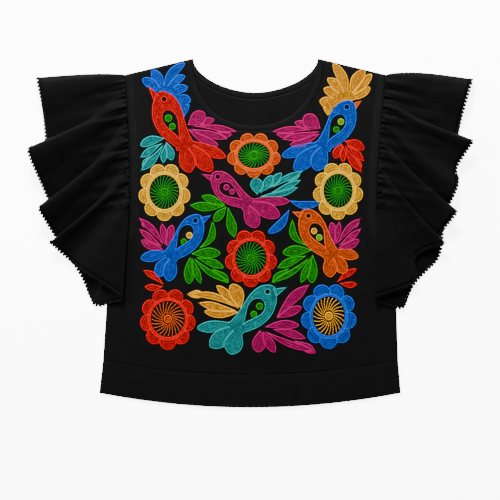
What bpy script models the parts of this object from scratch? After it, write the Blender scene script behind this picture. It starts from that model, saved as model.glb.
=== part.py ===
"""A black cotton blouse with ruffle sleeves, laid flat and face up on a surface.

It lies in the XY plane with its neck towards +Y and its front up, towards +Z.  Right and left are
the wearer's, so the right sleeve lies on the -X side.  Sizes are metres.  The body's pieces are
sheets with a Solidify modifier, and each ruffle and its trim are closed rings with walls of their own.
"""

import math

import bmesh
import bpy
from mathutils import Vector

# Cloth thickness, and the gap that parts two pieces at a seam or where they lie on each other
CLOTH = 0.0012
HEM_CLOTH = 0.0016
SEAM_GAP = 0.0003
NECK_SEAM_GAP = 0.0005

# Heights of the middle of each layer above the surface
BACK_LEVEL = CLOTH / 2
FRONT_LEVEL = CLOTH + SEAM_GAP + CLOTH / 2
FRONT_HEM_LEVEL = CLOTH + SEAM_GAP + HEM_CLOTH / 2
RUFFLE_LEVEL = FRONT_LEVEL + CLOTH + SEAM_GAP

# Half widths of the body, from its centre line
HEM_HALF = 0.2350
BAND_SEAM_HALF = 0.2300
UNDERARM_HALF = 0.2220
ARMHOLE_HALF = 0.1925
SHOULDER_HALF = 0.2037
NECK_HALF = 0.0970

# Heights up the body, from the middle of the blouse
NECK_Y = 0.2735
SHOULDER_Y = 0.2480
ARMHOLE_BEND_Y = 0.0350
UNDERARM_Y = -0.0300
BAND_SEAM_Y = -0.1970
HEM_Y = -0.2480
HEM_SAG = 0.0228
ARMHOLE_BEND_POWER = 2.2

# Neckline: its depth below the shoulder, how square its curve is, and the binding's width
FRONT_NECK_DEPTH = 0.1050
BACK_NECK_DEPTH = 0.0527
FRONT_NECK_POWER = 2.2
BACK_NECK_POWER = 1.8
FRONT_BINDING = 0.0075
BACK_BINDING = 0.0090

# The blouse lies a little askew: where its centre line starts, and how far that leans per metre up
CENTRE_X = 0.0025
LEAN = 0.0165

# Soft lift of the front over the back, and the slack waves that run down from the bust
FRONT_LIFT = 0.0016
SLACK_HEIGHT = 0.0008
SLACK_WAVE = 0.115
SLACK_SLANT = 2.0
SIDE_EASE_POWER = 1.5
END_EASE_POWER = 0.8

# Gathers of a ruffle's front half: how many, how high, and where they end along and out from the seam
GATHERS = 20
GATHER_HEIGHT = 0.0020
GATHER_REACH = 0.24
GATHERS_END_Y = 0.030
GATHERS_FADE = 0.030

# How a ruffle's threads rise and bow from armhole to hem, and the blunt turn at each fold
FOLD_RISE_POWER = 0.7
FOLD_BOW_POWER = 0.7
TURN_BEFORE_ROW = 0.0040
TURN_AFTER_ROW = 0.0070
TURN_SHARE = 0.3
RUFFLE_ROWS = (0.0, 0.04, 0.10, 0.17, 0.28, 0.43, 0.60, 0.80)

# The trim on a ruffle's hem, and the room between body and ruffle
TRIM_WIDTH = 0.0055
TRIM_GAP = 0.0017
FRONT_ARMHOLE_GAP = 0.0004
BACK_ARMHOLE_GAP = 0.0014
UNDERARM_SPREAD = 0.0030
UNDERARM_TURN = 0.018

# Grid of the body panels: columns on each half, and rows as heights at the side seam and armhole
NECK_COLUMNS = 9
SHOULDER_COLUMNS = 5
BODY_ROWS = (
    BAND_SEAM_Y, -0.150, -0.105, -0.065, UNDERARM_Y, -0.020, -0.010, 0.0, 0.010, 0.022,
    ARMHOLE_BEND_Y, 0.080, 0.120, 0.165, 0.210, SHOULDER_Y,
)
HEM_COLUMNS = 24

# One row for each fold of a ruffle, from the shoulder down the front and back up behind.
# out, y and height place the hem, measured out from and up the middle of the blouse. seam_y and
# seam_height place the same thread at the armhole. bow is how far it curves up between the two,
# and steps is the number of columns to the next row.
FOLD_COLUMNS = ("out", "y", "height", "seam_y", "seam_height", "bow", "steps")
RIGHT_RUFFLE = (
    (0.334, 0.238, 0.0090, 0.247, 0.0036, 0.003, 6),
    (0.320, 0.121, 0.0037, 0.230, 0.0036, -0.002, 6),
    (0.347, 0.133, 0.0200, 0.208, 0.0036, -0.005, 8),
    (0.312, 0.033, 0.0037, 0.182, 0.0036, -0.006, 6),
    (0.331, 0.042, 0.0190, 0.158, 0.0036, -0.006, 11),
    (0.298, -0.023, 0.0037, 0.120, 0.0036, -0.005, 6),
    (0.314, -0.013, 0.0160, 0.097, 0.0036, -0.004, 8),
    (0.284, -0.042, 0.0052, 0.071, 0.0042, -0.003, 6),
    (0.261, -0.059, 0.0100, 0.047, 0.0080, 0.000, 4),
    (0.199, -0.102, 0.0125, 0.030, 0.0064, 0.000, 1),
    (0.203, -0.106, 0.0080, 0.018, 0.0045, 0.000, 1),
    (0.219, -0.109, 0.0050, 0.006, 0.0036, 0.000, 4),
    (0.242, -0.114, 0.0042, -0.042, 0.0038, 0.000, 2),
    (0.251, -0.101, 0.0006, -0.048, 0.0006, 0.000, 2),
    (0.262, -0.075, 0.0006, -0.040, 0.0006, 0.000, 2),
    (0.273, -0.056, 0.0006, -0.032, 0.0006, 0.000, 2),
    (0.298, -0.014, 0.0006, -0.012, 0.0006, 0.000, 2),
    (0.313, 0.045, 0.0006, 0.030, 0.0006, 0.000, 3),
    (0.320, 0.115, 0.0006, 0.100, 0.0006, 0.000, 3),
    (0.326, 0.193, 0.0006, 0.175, 0.0006, 0.000, 3),
    (0.333, 0.235, 0.0006, 0.245, 0.0006, 0.001, 2),
    (0.336, 0.2435, 0.0045, 0.248, 0.0021, 0.003, 2),
)
LEFT_RUFFLE = (
    (0.345, 0.236, 0.0090, 0.247, 0.0036, 0.006, 8),
    (0.321, 0.126, 0.0037, 0.225, 0.0036, -0.002, 3),
    (0.346, 0.145, 0.0200, 0.206, 0.0036, -0.004, 6),
    (0.320, 0.097, 0.0100, 0.193, 0.0036, -0.005, 2),
    (0.324, 0.081, 0.0120, 0.183, 0.0036, -0.005, 6),
    (0.300, 0.018, 0.0037, 0.167, 0.0036, -0.006, 3),
    (0.322, 0.035, 0.0180, 0.150, 0.0036, -0.006, 8),
    (0.281, -0.024, 0.0037, 0.126, 0.0036, -0.005, 3),
    (0.304, -0.015, 0.0160, 0.106, 0.0036, -0.004, 10),
    (0.256, -0.037, 0.0052, 0.080, 0.0042, -0.003, 3),
    (0.256, -0.074, 0.0105, 0.050, 0.0080, 0.000, 4),
    (0.192, -0.102, 0.0125, 0.030, 0.0064, 0.000, 1),
    (0.197, -0.107, 0.0080, 0.018, 0.0045, 0.000, 1),
    (0.210, -0.112, 0.0050, 0.006, 0.0036, 0.000, 4),
    (0.238, -0.117, 0.0042, -0.042, 0.0038, 0.000, 2),
    (0.243, -0.104, 0.0006, -0.048, 0.0006, 0.000, 2),
    (0.257, -0.078, 0.0006, -0.040, 0.0006, 0.000, 2),
    (0.274, -0.060, 0.0006, -0.032, 0.0006, 0.000, 2),
    (0.296, -0.034, 0.0006, -0.016, 0.0006, 0.000, 2),
    (0.304, 0.045, 0.0006, 0.030, 0.0006, 0.000, 3),
    (0.321, 0.140, 0.0006, 0.115, 0.0006, 0.000, 3),
    (0.334, 0.209, 0.0006, 0.185, 0.0006, 0.000, 2),
    (0.342, 0.235, 0.0006, 0.245, 0.0006, 0.003, 2),
    (0.347, 0.241, 0.0045, 0.248, 0.0021, 0.006, 2),
)

BLACK_COTTON = (0.012, 0.012, 0.013, 1.0)
BLACK_BINDING = (0.010, 0.010, 0.011, 1.0)
BLACK_TRIM = (0.006, 0.006, 0.006, 1.0)
CLOTH_ROUGHNESS = 0.85


def clear_scene():
    for item in list(bpy.data.objects):
        bpy.data.objects.remove(item)


def cloth_material(name, colour):
    material = bpy.data.materials.new(name + "_cloth")
    material.use_nodes = True
    shader = material.node_tree.nodes["Principled BSDF"]
    shader.inputs["Base Color"].default_value = colour
    shader.inputs["Roughness"].default_value = CLOTH_ROUGHNESS
    return material


def ease(t):
    """0 to 1 along half a cosine wave, level at both ends."""
    return 0.5 - 0.5 * math.cos(math.pi * min(1.0, max(0.0, t)))


def blend(low, high, t):
    return low + (high - low) * t


def lay(x, y, z):
    """A point of the blouse on its own centre line, placed as the blouse lies, a little askew."""
    return Vector((x + CENTRE_X + LEAN * y, y, z))


def shoulder_y(x):
    """The shoulder seam, straight from the neck down to the armhole."""
    return blend(NECK_Y, SHOULDER_Y, (abs(x) - NECK_HALF) / (SHOULDER_HALF - NECK_HALF))


def side_half(y):
    """Half the body's width at a height: hem band, side seam, underarm bend and armhole."""
    if y <= BAND_SEAM_Y:
        return blend(HEM_HALF, BAND_SEAM_HALF, (y - HEM_Y) / (BAND_SEAM_Y - HEM_Y))
    if y <= UNDERARM_Y:
        return blend(BAND_SEAM_HALF, UNDERARM_HALF, (y - BAND_SEAM_Y) / (UNDERARM_Y - BAND_SEAM_Y))
    if y <= ARMHOLE_BEND_Y:
        bend = (ARMHOLE_BEND_Y - y) / (ARMHOLE_BEND_Y - UNDERARM_Y)
        return ARMHOLE_HALF + (UNDERARM_HALF - ARMHOLE_HALF) * bend**ARMHOLE_BEND_POWER
    rise = (y - ARMHOLE_BEND_Y) / (SHOULDER_Y - ARMHOLE_BEND_Y)
    return blend(ARMHOLE_HALF, SHOULDER_HALF, rise**2)


def hem_line(side_y, x, half):
    """A line across the body that sags from side_y at the sides, as the hem does."""
    return side_y - HEM_SAG * (1 - (x / half) ** 2)


def neck_y(x, depth, power, offset):
    """The neckline moved out by offset: a curve between a round and a square."""
    half = NECK_HALF + offset
    top = shoulder_y(half)
    low = NECK_Y - depth - offset
    share = max(0.0, 1 - abs(x / half) ** power)
    return top - (top - low) * share ** (1 / power)


def neck_columns(half):
    """Places across the neckline, closer together where it turns up at the shoulder."""
    count = range(-NECK_COLUMNS, NECK_COLUMNS + 1)
    return [half * math.sin(math.pi / 2 * i / NECK_COLUMNS) for i in count]


def body_grid(depth, power, binding, height):
    """Rows of points over a body panel, from the hem band's seam up to the neck and shoulders."""
    neck = NECK_HALF + binding + NECK_SEAM_GAP
    step = (SHOULDER_HALF - neck) / SHOULDER_COLUMNS
    shoulder = [neck + step * i for i in range(1, SHOULDER_COLUMNS + 1)]
    tops = [-x for x in reversed(shoulder)] + neck_columns(neck) + shoulder
    rows = []
    for side_y in BODY_ROWS:
        up = (side_y - BAND_SEAM_Y) / (SHOULDER_Y - BAND_SEAM_Y)
        row = []
        for top_x in tops:
            across = top_x / SHOULDER_HALF
            x = across * side_half(side_y)
            low = hem_line(BAND_SEAM_Y, across, 1.0) + SEAM_GAP
            top_y = shoulder_y(top_x)
            if abs(top_x) <= neck:
                top_y = neck_y(top_x, depth, power, binding + NECK_SEAM_GAP)
            row.append(lay(x, blend(low, top_y, up), height(across, up)))
        rows.append(row)
    return rows


def front_height(across, up):
    """Height of the front: a soft lift over the back, with slack waves, that ends at its seams."""
    off_sides = max(0.0, 1 - across**2) ** SIDE_EASE_POWER
    off_ends = max(0.0, math.sin(math.pi * up)) ** END_EASE_POWER
    wave = math.cos(2 * math.pi * across * ARMHOLE_HALF / SLACK_WAVE + SLACK_SLANT * up)
    return FRONT_LEVEL + off_sides * off_ends * (FRONT_LIFT + SLACK_HEIGHT * wave)


def back_height(across, up):
    """Height of the back: flat on the surface wherever it is asked for."""
    return BACK_LEVEL


def hem_band_grid(level):
    """The wide hem band: one row of points along the hem and one along its seam."""
    rows = []
    for side_y in (HEM_Y, BAND_SEAM_Y):
        half = side_half(side_y)
        places = [-1 + 2 * i / HEM_COLUMNS for i in range(HEM_COLUMNS + 1)]
        rows.append([lay(half * a, hem_line(side_y, a, 1.0), level) for a in places])
    return rows


def binding_grid(depth, power, width, level):
    """The neck binding: one row of points along its outer edge and one along the neckline."""
    rows = []
    for offset in (width, 0.0):
        half = NECK_HALF + offset
        rows.append([lay(x, neck_y(x, depth, power, offset), level) for x in neck_columns(half)])
    return rows


def smooth_between(before, start, end, after, t):
    """A point between start and end on a smooth curve that also passes before and after.

    The curve's speed follows the square root of each span, so short spans never loop."""
    spans = [(b - a).length ** 0.5 for a, b in ((before, start), (start, end), (end, after))]
    leave = (start - before) / spans[0] - (end - before) / (spans[0] + spans[1]) + (end - start) / spans[1]
    arrive = (end - start) / spans[1] - (after - start) / (spans[1] + spans[2]) + (after - end) / spans[2]
    leave, arrive = leave * spans[1], arrive * spans[1]
    t2, t3 = t * t, t * t * t
    return (
        start * (2 * t3 - 3 * t2 + 1) + leave * (t3 - 2 * t2 + t)
        + end * (3 * t2 - 2 * t3) + arrive * (t3 - t2)
    )


def gathering(seam_y, seam_height):
    """How far a thread of the ruffle is pushed up by the gathers at the front armhole."""
    if seam_height < RUFFLE_LEVEL:
        return 0.0
    fade = ease((seam_y - GATHERS_END_Y) / GATHERS_FADE) * ease((SHOULDER_Y - seam_y) / GATHERS_FADE)
    turn = 2 * math.pi * GATHERS * (SHOULDER_Y - seam_y) / (SHOULDER_Y - GATHERS_END_Y)
    return fade * (0.5 - 0.5 * math.cos(turn))


def armhole_gap(seam_y, seam_height):
    """Room between body and ruffle, wider where the ring turns under below the underarm."""
    back = BACK_ARMHOLE_GAP + UNDERARM_SPREAD * ease((UNDERARM_Y - seam_y) / UNDERARM_TURN)
    front_share = (seam_height - BACK_LEVEL) / (RUFFLE_LEVEL - BACK_LEVEL)
    return blend(back, FRONT_ARMHOLE_GAP, min(1.0, front_share))


def ruffle_columns(table, side):
    """The ruffle's threads from armhole to hem: both ends, the bow and the gather of each.

    No thread ends on a row's own point. The last one before it and the first one after it lie
    a little away along the hem, so each fold has a blunt, open turn."""
    folds = [dict(zip(FOLD_COLUMNS, row)) for row in table]
    ends = [Vector((side * f["out"], f["y"], f["height"])) for f in folds]
    columns = []
    for i, fold in enumerate(folds):
        after = folds[(i + 1) % len(folds)]
        points = [ends[(i + k) % len(folds)] for k in (-1, 0, 1, 2)]
        span = (points[2] - points[1]).length
        first = min(TURN_SHARE, TURN_AFTER_ROW / span)
        last = 1 - min(TURN_SHARE, TURN_BEFORE_ROW / span)
        falling = after["height"] < fold["height"]
        for step in range(fold["steps"] + 1):
            t = blend(first, last, step / fold["steps"])
            hem = smooth_between(*points, t)
            hem.z = blend(fold["height"], after["height"], ease(t) if falling else t)
            seam_y = blend(fold["seam_y"], after["seam_y"], t)
            seam_height = blend(fold["seam_height"], after["seam_height"], t)
            seam_x = side_half(seam_y) + armhole_gap(seam_y, seam_height)
            seam = lay(side * seam_x, seam_y, seam_height)
            columns.append((seam, hem, blend(fold["bow"], after["bow"], t), gathering(seam_y, seam_height)))
    return columns


def ruffle_point(column, v):
    """The cloth of a ruffle at v, from 0 at the armhole to 1 at the outer edge of its trim."""
    seam, hem, bow, gather = column
    flat = seam.lerp(hem, v)
    height = blend(seam.z, hem.z, v**FOLD_RISE_POWER)
    if v < GATHER_REACH:
        height += GATHER_HEIGHT * gather * math.sin(math.pi * v / GATHER_REACH)
    return Vector((flat.x, flat.y + bow * math.sin(math.pi * v**FOLD_BOW_POWER), height))


def near_hem(column, distance):
    """How far along a thread a point lies that is this distance in from its outer end."""
    seam, hem = column[0], column[1]
    return 1 - distance / (hem - seam).length


def ruffle_surface(columns):
    """The middle surface of a ruffle with its trim, as rows of points, and its normals.

    The cloth's own edge and the trim's inner edge are both rows of it, TRIM_GAP apart."""
    rows = [[ruffle_point(c, v) for c in columns] for v in RUFFLE_ROWS]
    for distance in (TRIM_WIDTH + TRIM_GAP, TRIM_WIDTH, 0.0):
        rows.append([ruffle_point(c, near_hem(c, distance)) for c in columns])
    return rows, ring_normals(rows)


def ring_normals(rows):
    """The normal at each point of a surface whose rows are closed rings."""
    count = len(rows[0])
    normals = []
    for r, row in enumerate(rows):
        inner, outer = rows[max(r - 1, 0)], rows[min(r + 1, len(rows) - 1)]
        line = []
        for c in range(count):
            along = (row[(c + 1) % count] - row[c]).normalized() + (row[c] - row[c - 1]).normalized()
            line.append(along.cross(outer[c] - inner[c]).normalized())
        normals.append(line)
    return normals


def add_object(name, mesh, colour):
    """One named object for a mesh, with a cloth material of its own."""
    mesh.shade_smooth()
    mesh.materials.append(cloth_material(name, colour))
    item = bpy.data.objects.new(name, mesh)
    bpy.context.scene.collection.objects.link(item)
    return item


def add_cloth(name, points, faces, thickness, colour):
    """A sheet of cloth with half its thickness on each side of the points."""
    mesh = bpy.data.meshes.new(name)
    mesh.from_pydata(points, [], faces)
    wall = add_object(name, mesh, colour).modifiers.new("thickness", "SOLIDIFY")
    wall.thickness = thickness
    wall.offset = 0.0


def add_sheet(name, rows, thickness, colour):
    """Cloth over rows of points."""
    count = len(rows[0])
    points = [p for row in rows for p in row]
    faces = []
    for r in range(len(rows) - 1):
        for c in range(count - 1):
            low, high = r * count + c, (r + 1) * count + c
            faces.append((low, low + 1, high + 1, high))
    add_cloth(name, points, faces, thickness, colour)


def add_flat(name, rows, thickness, colour):
    """A flat piece of cloth that keeps only the outline of its rows of points."""
    right = [row[-1] for row in rows[1:-1]]
    left = [row[0] for row in rows[-2:0:-1]]
    outline = rows[0] + right + rows[-1][::-1] + left
    add_cloth(name, outline, [tuple(range(len(outline)))], thickness, colour)


def add_ring(name, rows, normals, thickness, colour):
    """A closed ring of cloth over rows of points, with a wall of even thickness about them."""
    count = len(rows[0])
    walls = []
    for offset in (thickness / 2, -thickness / 2):
        walls.append([[p + n * offset for p, n in zip(*pair)] for pair in zip(rows, normals)])
    rings = walls[0] + walls[1][::-1]
    points = [p for ring in rings for p in ring]
    faces = []
    for r in range(len(rings)):
        low, high = r * count, (r + 1) % len(rings) * count
        for c in range(count):
            after = (c + 1) % count
            faces.append((low + c, low + after, high + after, high + c))
    mesh = bpy.data.meshes.new(name)
    mesh.from_pydata(points, [], faces)
    shape = bmesh.new()
    shape.from_mesh(mesh)
    bmesh.ops.recalc_face_normals(shape, faces=shape.faces)
    shape.to_mesh(mesh)
    shape.free()
    add_object(name, mesh, colour)


def build_body():
    """Front and back panel, their hem bands and their neck bindings."""
    front = body_grid(FRONT_NECK_DEPTH, FRONT_NECK_POWER, FRONT_BINDING, front_height)
    add_sheet("front", front, CLOTH, BLACK_COTTON)
    back = body_grid(BACK_NECK_DEPTH, BACK_NECK_POWER, BACK_BINDING, back_height)
    add_flat("back", back, CLOTH, BLACK_COTTON)
    add_sheet("hem_band_front", hem_band_grid(FRONT_HEM_LEVEL), HEM_CLOTH, BLACK_COTTON)
    add_sheet("hem_band_back", hem_band_grid(BACK_LEVEL), CLOTH, BLACK_COTTON)
    front_binding = binding_grid(FRONT_NECK_DEPTH, FRONT_NECK_POWER, FRONT_BINDING, FRONT_LEVEL)
    add_sheet("neck_binding_front", front_binding, CLOTH, BLACK_BINDING)
    back_binding = binding_grid(BACK_NECK_DEPTH, BACK_NECK_POWER, BACK_BINDING, BACK_LEVEL)
    add_sheet("neck_binding_back", back_binding, CLOTH, BLACK_BINDING)


def build_sleeve(side_name, side, table):
    """A ruffle and the trim on its hem, cut from one surface."""
    rows, normals = ruffle_surface(ruffle_columns(table, side))
    add_ring("ruffle_" + side_name, rows[:-2], normals[:-2], CLOTH, BLACK_COTTON)
    add_ring("trim_" + side_name, rows[-2:], normals[-2:], CLOTH, BLACK_TRIM)


def build():
    clear_scene()
    build_body()
    build_sleeve("right", -1, RIGHT_RUFFLE)
    build_sleeve("left", 1, LEFT_RUFFLE)


build()
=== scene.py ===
import math

import bmesh
import bpy
import numpy as np
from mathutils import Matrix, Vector, geometry, noise
from mathutils.bvhtree import BVHTree


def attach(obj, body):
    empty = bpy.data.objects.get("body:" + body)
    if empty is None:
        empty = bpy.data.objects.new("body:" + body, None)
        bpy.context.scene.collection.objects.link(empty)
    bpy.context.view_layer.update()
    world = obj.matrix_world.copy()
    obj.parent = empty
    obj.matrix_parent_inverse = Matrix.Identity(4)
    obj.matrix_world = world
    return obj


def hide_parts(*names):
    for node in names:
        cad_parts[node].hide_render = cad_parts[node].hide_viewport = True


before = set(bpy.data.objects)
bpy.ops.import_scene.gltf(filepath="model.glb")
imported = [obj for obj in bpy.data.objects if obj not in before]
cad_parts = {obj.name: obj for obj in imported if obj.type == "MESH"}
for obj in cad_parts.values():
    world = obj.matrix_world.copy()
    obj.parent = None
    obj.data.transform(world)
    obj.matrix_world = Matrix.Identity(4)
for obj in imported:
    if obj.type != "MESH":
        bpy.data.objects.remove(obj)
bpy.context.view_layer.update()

# Front panel.  One layer of black cotton poplin with a wide round neck, sloping shoulders and
# curved armholes.  It lies on the back panel with a little air between them, in soft slack waves
# that run down from the bust, and it keeps the creases that it was folded in.
CLOTH = 0.0012
SEAM_GAP = 0.0003
NECK_SEAM_GAP = 0.0005
SHELL = 0.0009
BACK_LEVEL = CLOTH / 2
FRONT_LEVEL = CLOTH + SEAM_GAP + CLOTH / 2
HEM_HALF = 0.2350
BAND_SEAM_HALF = 0.2300
UNDERARM_HALF = 0.2220
ARMHOLE_HALF = 0.1925
SHOULDER_HALF = 0.2037
NECK_HALF = 0.0970
NECK_Y = 0.2735
SHOULDER_Y = 0.2480
ARMHOLE_BEND_Y = 0.0350
UNDERARM_Y = -0.0300
BAND_SEAM_Y = -0.1970
HEM_Y = -0.2480
HEM_SAG = 0.0228
ARMHOLE_BEND_POWER = 2.2
FRONT_NECK = {"depth": 0.1050, "power": 2.2, "binding": 0.0075}
CENTRE_X = 0.0025
LEAN = 0.0165
FRONT_LIFT = 0.0016
SLACK_HEIGHT = 0.0008
SLACK_WAVE = 0.115
SLACK_SLANT = 5.0
END_FLAT = 0.085
NECK_FLAT = 0.060
STRIP_WIDTH = 0.0125
STRIP_EDGE = 0.0008
STRIP_HEIGHT = 0.0003
NECK_COLUMNS = 44
SHOULDER_COLUMNS = 22
BODY_ROWS = 120
NECK_FROM = 0.70
NECK_EASE = 0.12
SHOULDER_EASE = 0.060
ARMHOLE_ALLOWANCE = 0.0016
SEAM_LAP = 0.0016
SEAM_DIP = 0.0005
SEAM_TURN = 0.0012
ALLOWANCE_ENDS = (0.020, 0.004)
STRIP_END = 0.010

# Each crease of the body: both ends (x, y), half width, and height, which is negative in a trough
CREASES = (
    (-0.165, -0.185, -0.120, 0.020, 0.011, 0.0007),
    (-0.090, -0.200, -0.070, -0.060, 0.013, -0.0006),
    (0.040, -0.205, 0.030, -0.090, 0.015, 0.0007),
    (0.120, -0.195, 0.105, -0.050, 0.012, -0.0007),
    (0.175, -0.190, 0.150, -0.010, 0.011, 0.0008),
    (-0.185, 0.060, -0.120, 0.100, 0.010, 0.0006),
    (0.185, 0.050, 0.120, 0.085, 0.010, 0.0006),
    (-0.150, 0.215, -0.110, 0.120, 0.012, -0.0005),
    (0.155, 0.210, 0.125, 0.110, 0.012, -0.0005),
)
CREASE_NOISE = 0.0005
CREASE_NOISE_SCALE = 9
CREASE_REACH = 0.48
CREASE_FADE = 4


def ease(t):
    return 0.5 - 0.5 * math.cos(math.pi * min(1.0, max(0.0, t)))


def mix(low, high, t):
    return low + (high - low) * t


def lay(x, y, z):
    """A point of the blouse on its own centre line, placed as the blouse lies, a little askew."""
    return Vector((x + CENTRE_X + LEAN * y, y, z))


def shoulder_y(x):
    return mix(NECK_Y, SHOULDER_Y, (abs(x) - NECK_HALF) / (SHOULDER_HALF - NECK_HALF))


def side_half(y):
    """Half the body's width at a height: hem band, side seam, underarm bend and armhole."""
    if y <= BAND_SEAM_Y:
        return mix(HEM_HALF, BAND_SEAM_HALF, (y - HEM_Y) / (BAND_SEAM_Y - HEM_Y))
    if y <= UNDERARM_Y:
        return mix(BAND_SEAM_HALF, UNDERARM_HALF, (y - BAND_SEAM_Y) / (UNDERARM_Y - BAND_SEAM_Y))
    if y <= ARMHOLE_BEND_Y:
        bend = (ARMHOLE_BEND_Y - y) / (ARMHOLE_BEND_Y - UNDERARM_Y)
        return ARMHOLE_HALF + (UNDERARM_HALF - ARMHOLE_HALF) * bend**ARMHOLE_BEND_POWER
    rise = (y - ARMHOLE_BEND_Y) / (SHOULDER_Y - ARMHOLE_BEND_Y)
    return mix(ARMHOLE_HALF, SHOULDER_HALF, rise**2)


def hem_line(side_y, across):
    return side_y - HEM_SAG * (1 - across**2)


def neck_y(x, neck, offset):
    """The neckline moved out by offset: a curve between a round and a square."""
    half = NECK_HALF + offset
    top = shoulder_y(half)
    share = max(0.0, 1 - abs(x / half) ** neck["power"])
    return top - (top - (NECK_Y - neck["depth"] - offset)) * share ** (1 / neck["power"])


def neck_places(half, count):
    """Places across the neckline, closer together where it turns up at the shoulder."""
    return [half * math.sin(math.pi / 2 * i / count) for i in range(-count, count + 1)]


def creases(x, y):
    """Height of the body's creases at a place, soft along and across each of them."""
    height = CREASE_NOISE * noise.noise(Vector((x * CREASE_NOISE_SCALE, y * CREASE_NOISE_SCALE, 3)))
    for x0, y0, x1, y1, width, peak in CREASES:
        ax, ay = x1 - x0, y1 - y0
        t = ((x - x0) * ax + (y - y0) * ay) / (ax * ax + ay * ay)
        off = math.hypot(x - x0 - ax * t, y - y0 - ay * t)
        beside, beyond = off / width, abs(t - 0.5) / CREASE_REACH
        height += peak * math.exp(-(beside**2)) * math.exp(-(beyond**4))
    return height


def body_grid(neck, height, allowance):
    """Fine rows of points over a body panel, from the hem band's seam up to neck and shoulders.
    The allowance is what the panel's edge reaches past the armhole seam.  The columns are even at
    the hem and run straight up beside the neck."""
    edge = NECK_HALF + neck["binding"] + NECK_SEAM_GAP
    step = (SHOULDER_HALF - edge) / SHOULDER_COLUMNS
    strip = [SHOULDER_HALF - STRIP_WIDTH + STRIP_EDGE * k for k in (0, 1)]
    shoulder = sorted([edge + step * i for i in range(1, SHOULDER_COLUMNS + 1)] + strip)
    beyond = [-x for x in reversed(shoulder)]
    tops = beyond + neck_places(edge, NECK_COLUMNS) + shoulder
    lows = beyond + [edge * i / NECK_COLUMNS for i in range(-NECK_COLUMNS, NECK_COLUMNS + 1)] + shoulder
    rows = []
    for r in range(-1, BODY_ROWS + 1):
        up = max(0, r) / BODY_ROWS
        lap_y, lap_z = ((-SEAM_LAP, -SEAM_DIP) if r < 0 else (0.0 if r else SEAM_TURN, 0.0))
        side_y = mix(BAND_SEAM_Y, SHOULDER_Y, up)
        past = allowance * ease((side_y - UNDERARM_Y) / ALLOWANCE_ENDS[0])
        past *= ease((SHOULDER_Y - side_y) / ALLOWANCE_ENDS[1])
        half = side_half(side_y) + past
        narrow = half / SHOULDER_HALF
        beside_neck = mix(narrow, 1.0, ease((up - NECK_FROM) / NECK_EASE))
        row = []
        for low_x, top_x in zip(lows, tops):
            free = ease((abs(top_x) - edge) / SHOULDER_EASE)
            x = mix(low_x, top_x, up**2) * mix(beside_neck, narrow, free)
            across = x / half
            low = hem_line(BAND_SEAM_Y, across) + SEAM_GAP
            at_neck = abs(top_x) <= edge
            top_y = neck_y(top_x, neck, neck["binding"] + NECK_SEAM_GAP) if at_neck else shoulder_y(top_x)
            y = mix(low, top_y, up)
            row.append(lay(x, y + lap_y, height(across, x, y) + lap_z))
        rows.append(row)
    return rows


def front_height(across, x, y):
    """Height of the front panel's face: lift, slack waves and creases, all flat at its seams, and the raised
    strip of the armhole facing."""
    off_sides = max(0.0, 1 - across**2)
    bottom, top = hem_line(BAND_SEAM_Y, across), shoulder_y(max(abs(x), NECK_HALF))
    power, binding = FRONT_NECK["power"], FRONT_NECK["binding"]
    neck_x = abs(x) / (NECK_HALF + binding)
    neck_down = max(0.0, NECK_Y - y) / (FRONT_NECK["depth"] + binding)
    neck_off = (neck_x**power + neck_down**power) ** (1 / power)
    free = ease((y - bottom) / END_FLAT) * ease((top - y) / END_FLAT)
    free *= ease((neck_off - 1) * NECK_HALF / NECK_FLAT)
    wave = math.cos(2 * math.pi * x / SLACK_WAVE + SLACK_SLANT * y)
    swell = off_sides**1.5 * free * (FRONT_LIFT + SLACK_HEIGHT * wave)
    strip = STRIP_HEIGHT * on_strip(across, y)
    folded = creases(x, y) * min(1.0, CREASE_FADE * off_sides) * min(1.0, CREASE_FADE * free)
    return FRONT_LEVEL + CLOTH / 2 + swell + strip + folded


def on_strip(across, y):
    """Whether a place lies on the strip of doubled cloth beside the armhole."""
    inside = (1 - abs(across)) * SHOULDER_HALF
    return ease((STRIP_WIDTH - inside) / STRIP_EDGE) * ease((y - UNDERARM_Y) / STRIP_END)


def cloth_mesh(name, rows, closed=False):
    """A cloth surface over rows of points, with a UV map in metres of cloth, named cloth."""
    count = len(rows[0])
    mesh = bpy.data.meshes.new(name)
    span = count if closed else count - 1
    faces = []
    for r in range(len(rows) - 1):
        for c in range(span):
            low, high, after = r * count, (r + 1) * count, (c + 1) % count
            faces.append((low + c, low + after, high + after, high + c))
    mesh.from_pydata([p for row in rows for p in row], [], faces)
    middle = rows[len(rows) // 2]
    along = [0.0]
    for c in range(span):
        along.append(along[-1] + (middle[(c + 1) % count] - middle[c]).length)
    up = [0.0]
    for r in range(len(rows) - 1):
        up.append(up[-1] + (rows[r + 1][count // 4] - rows[r][count // 4]).length)
    layer = mesh.uv_layers.new(name="cloth")
    spots = []
    for r in range(len(rows) - 1):
        for c in range(span):
            spots += [along[c], up[r], along[c + 1], up[r], along[c + 1], up[r + 1], along[c], up[r + 1]]
    layer.data.foreach_set("uv", spots)
    mesh.shade_smooth()
    piece = bpy.data.objects.new(name, mesh)
    bpy.context.scene.collection.objects.link(piece)
    return piece


def give_wall(piece, thickness, offset):
    """Thickens a cloth surface: below it at offset -1, and to both sides of it at 0."""
    wall = piece.modifiers.new("wall", "SOLIDIFY")
    wall.thickness = thickness
    wall.offset = offset


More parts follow.
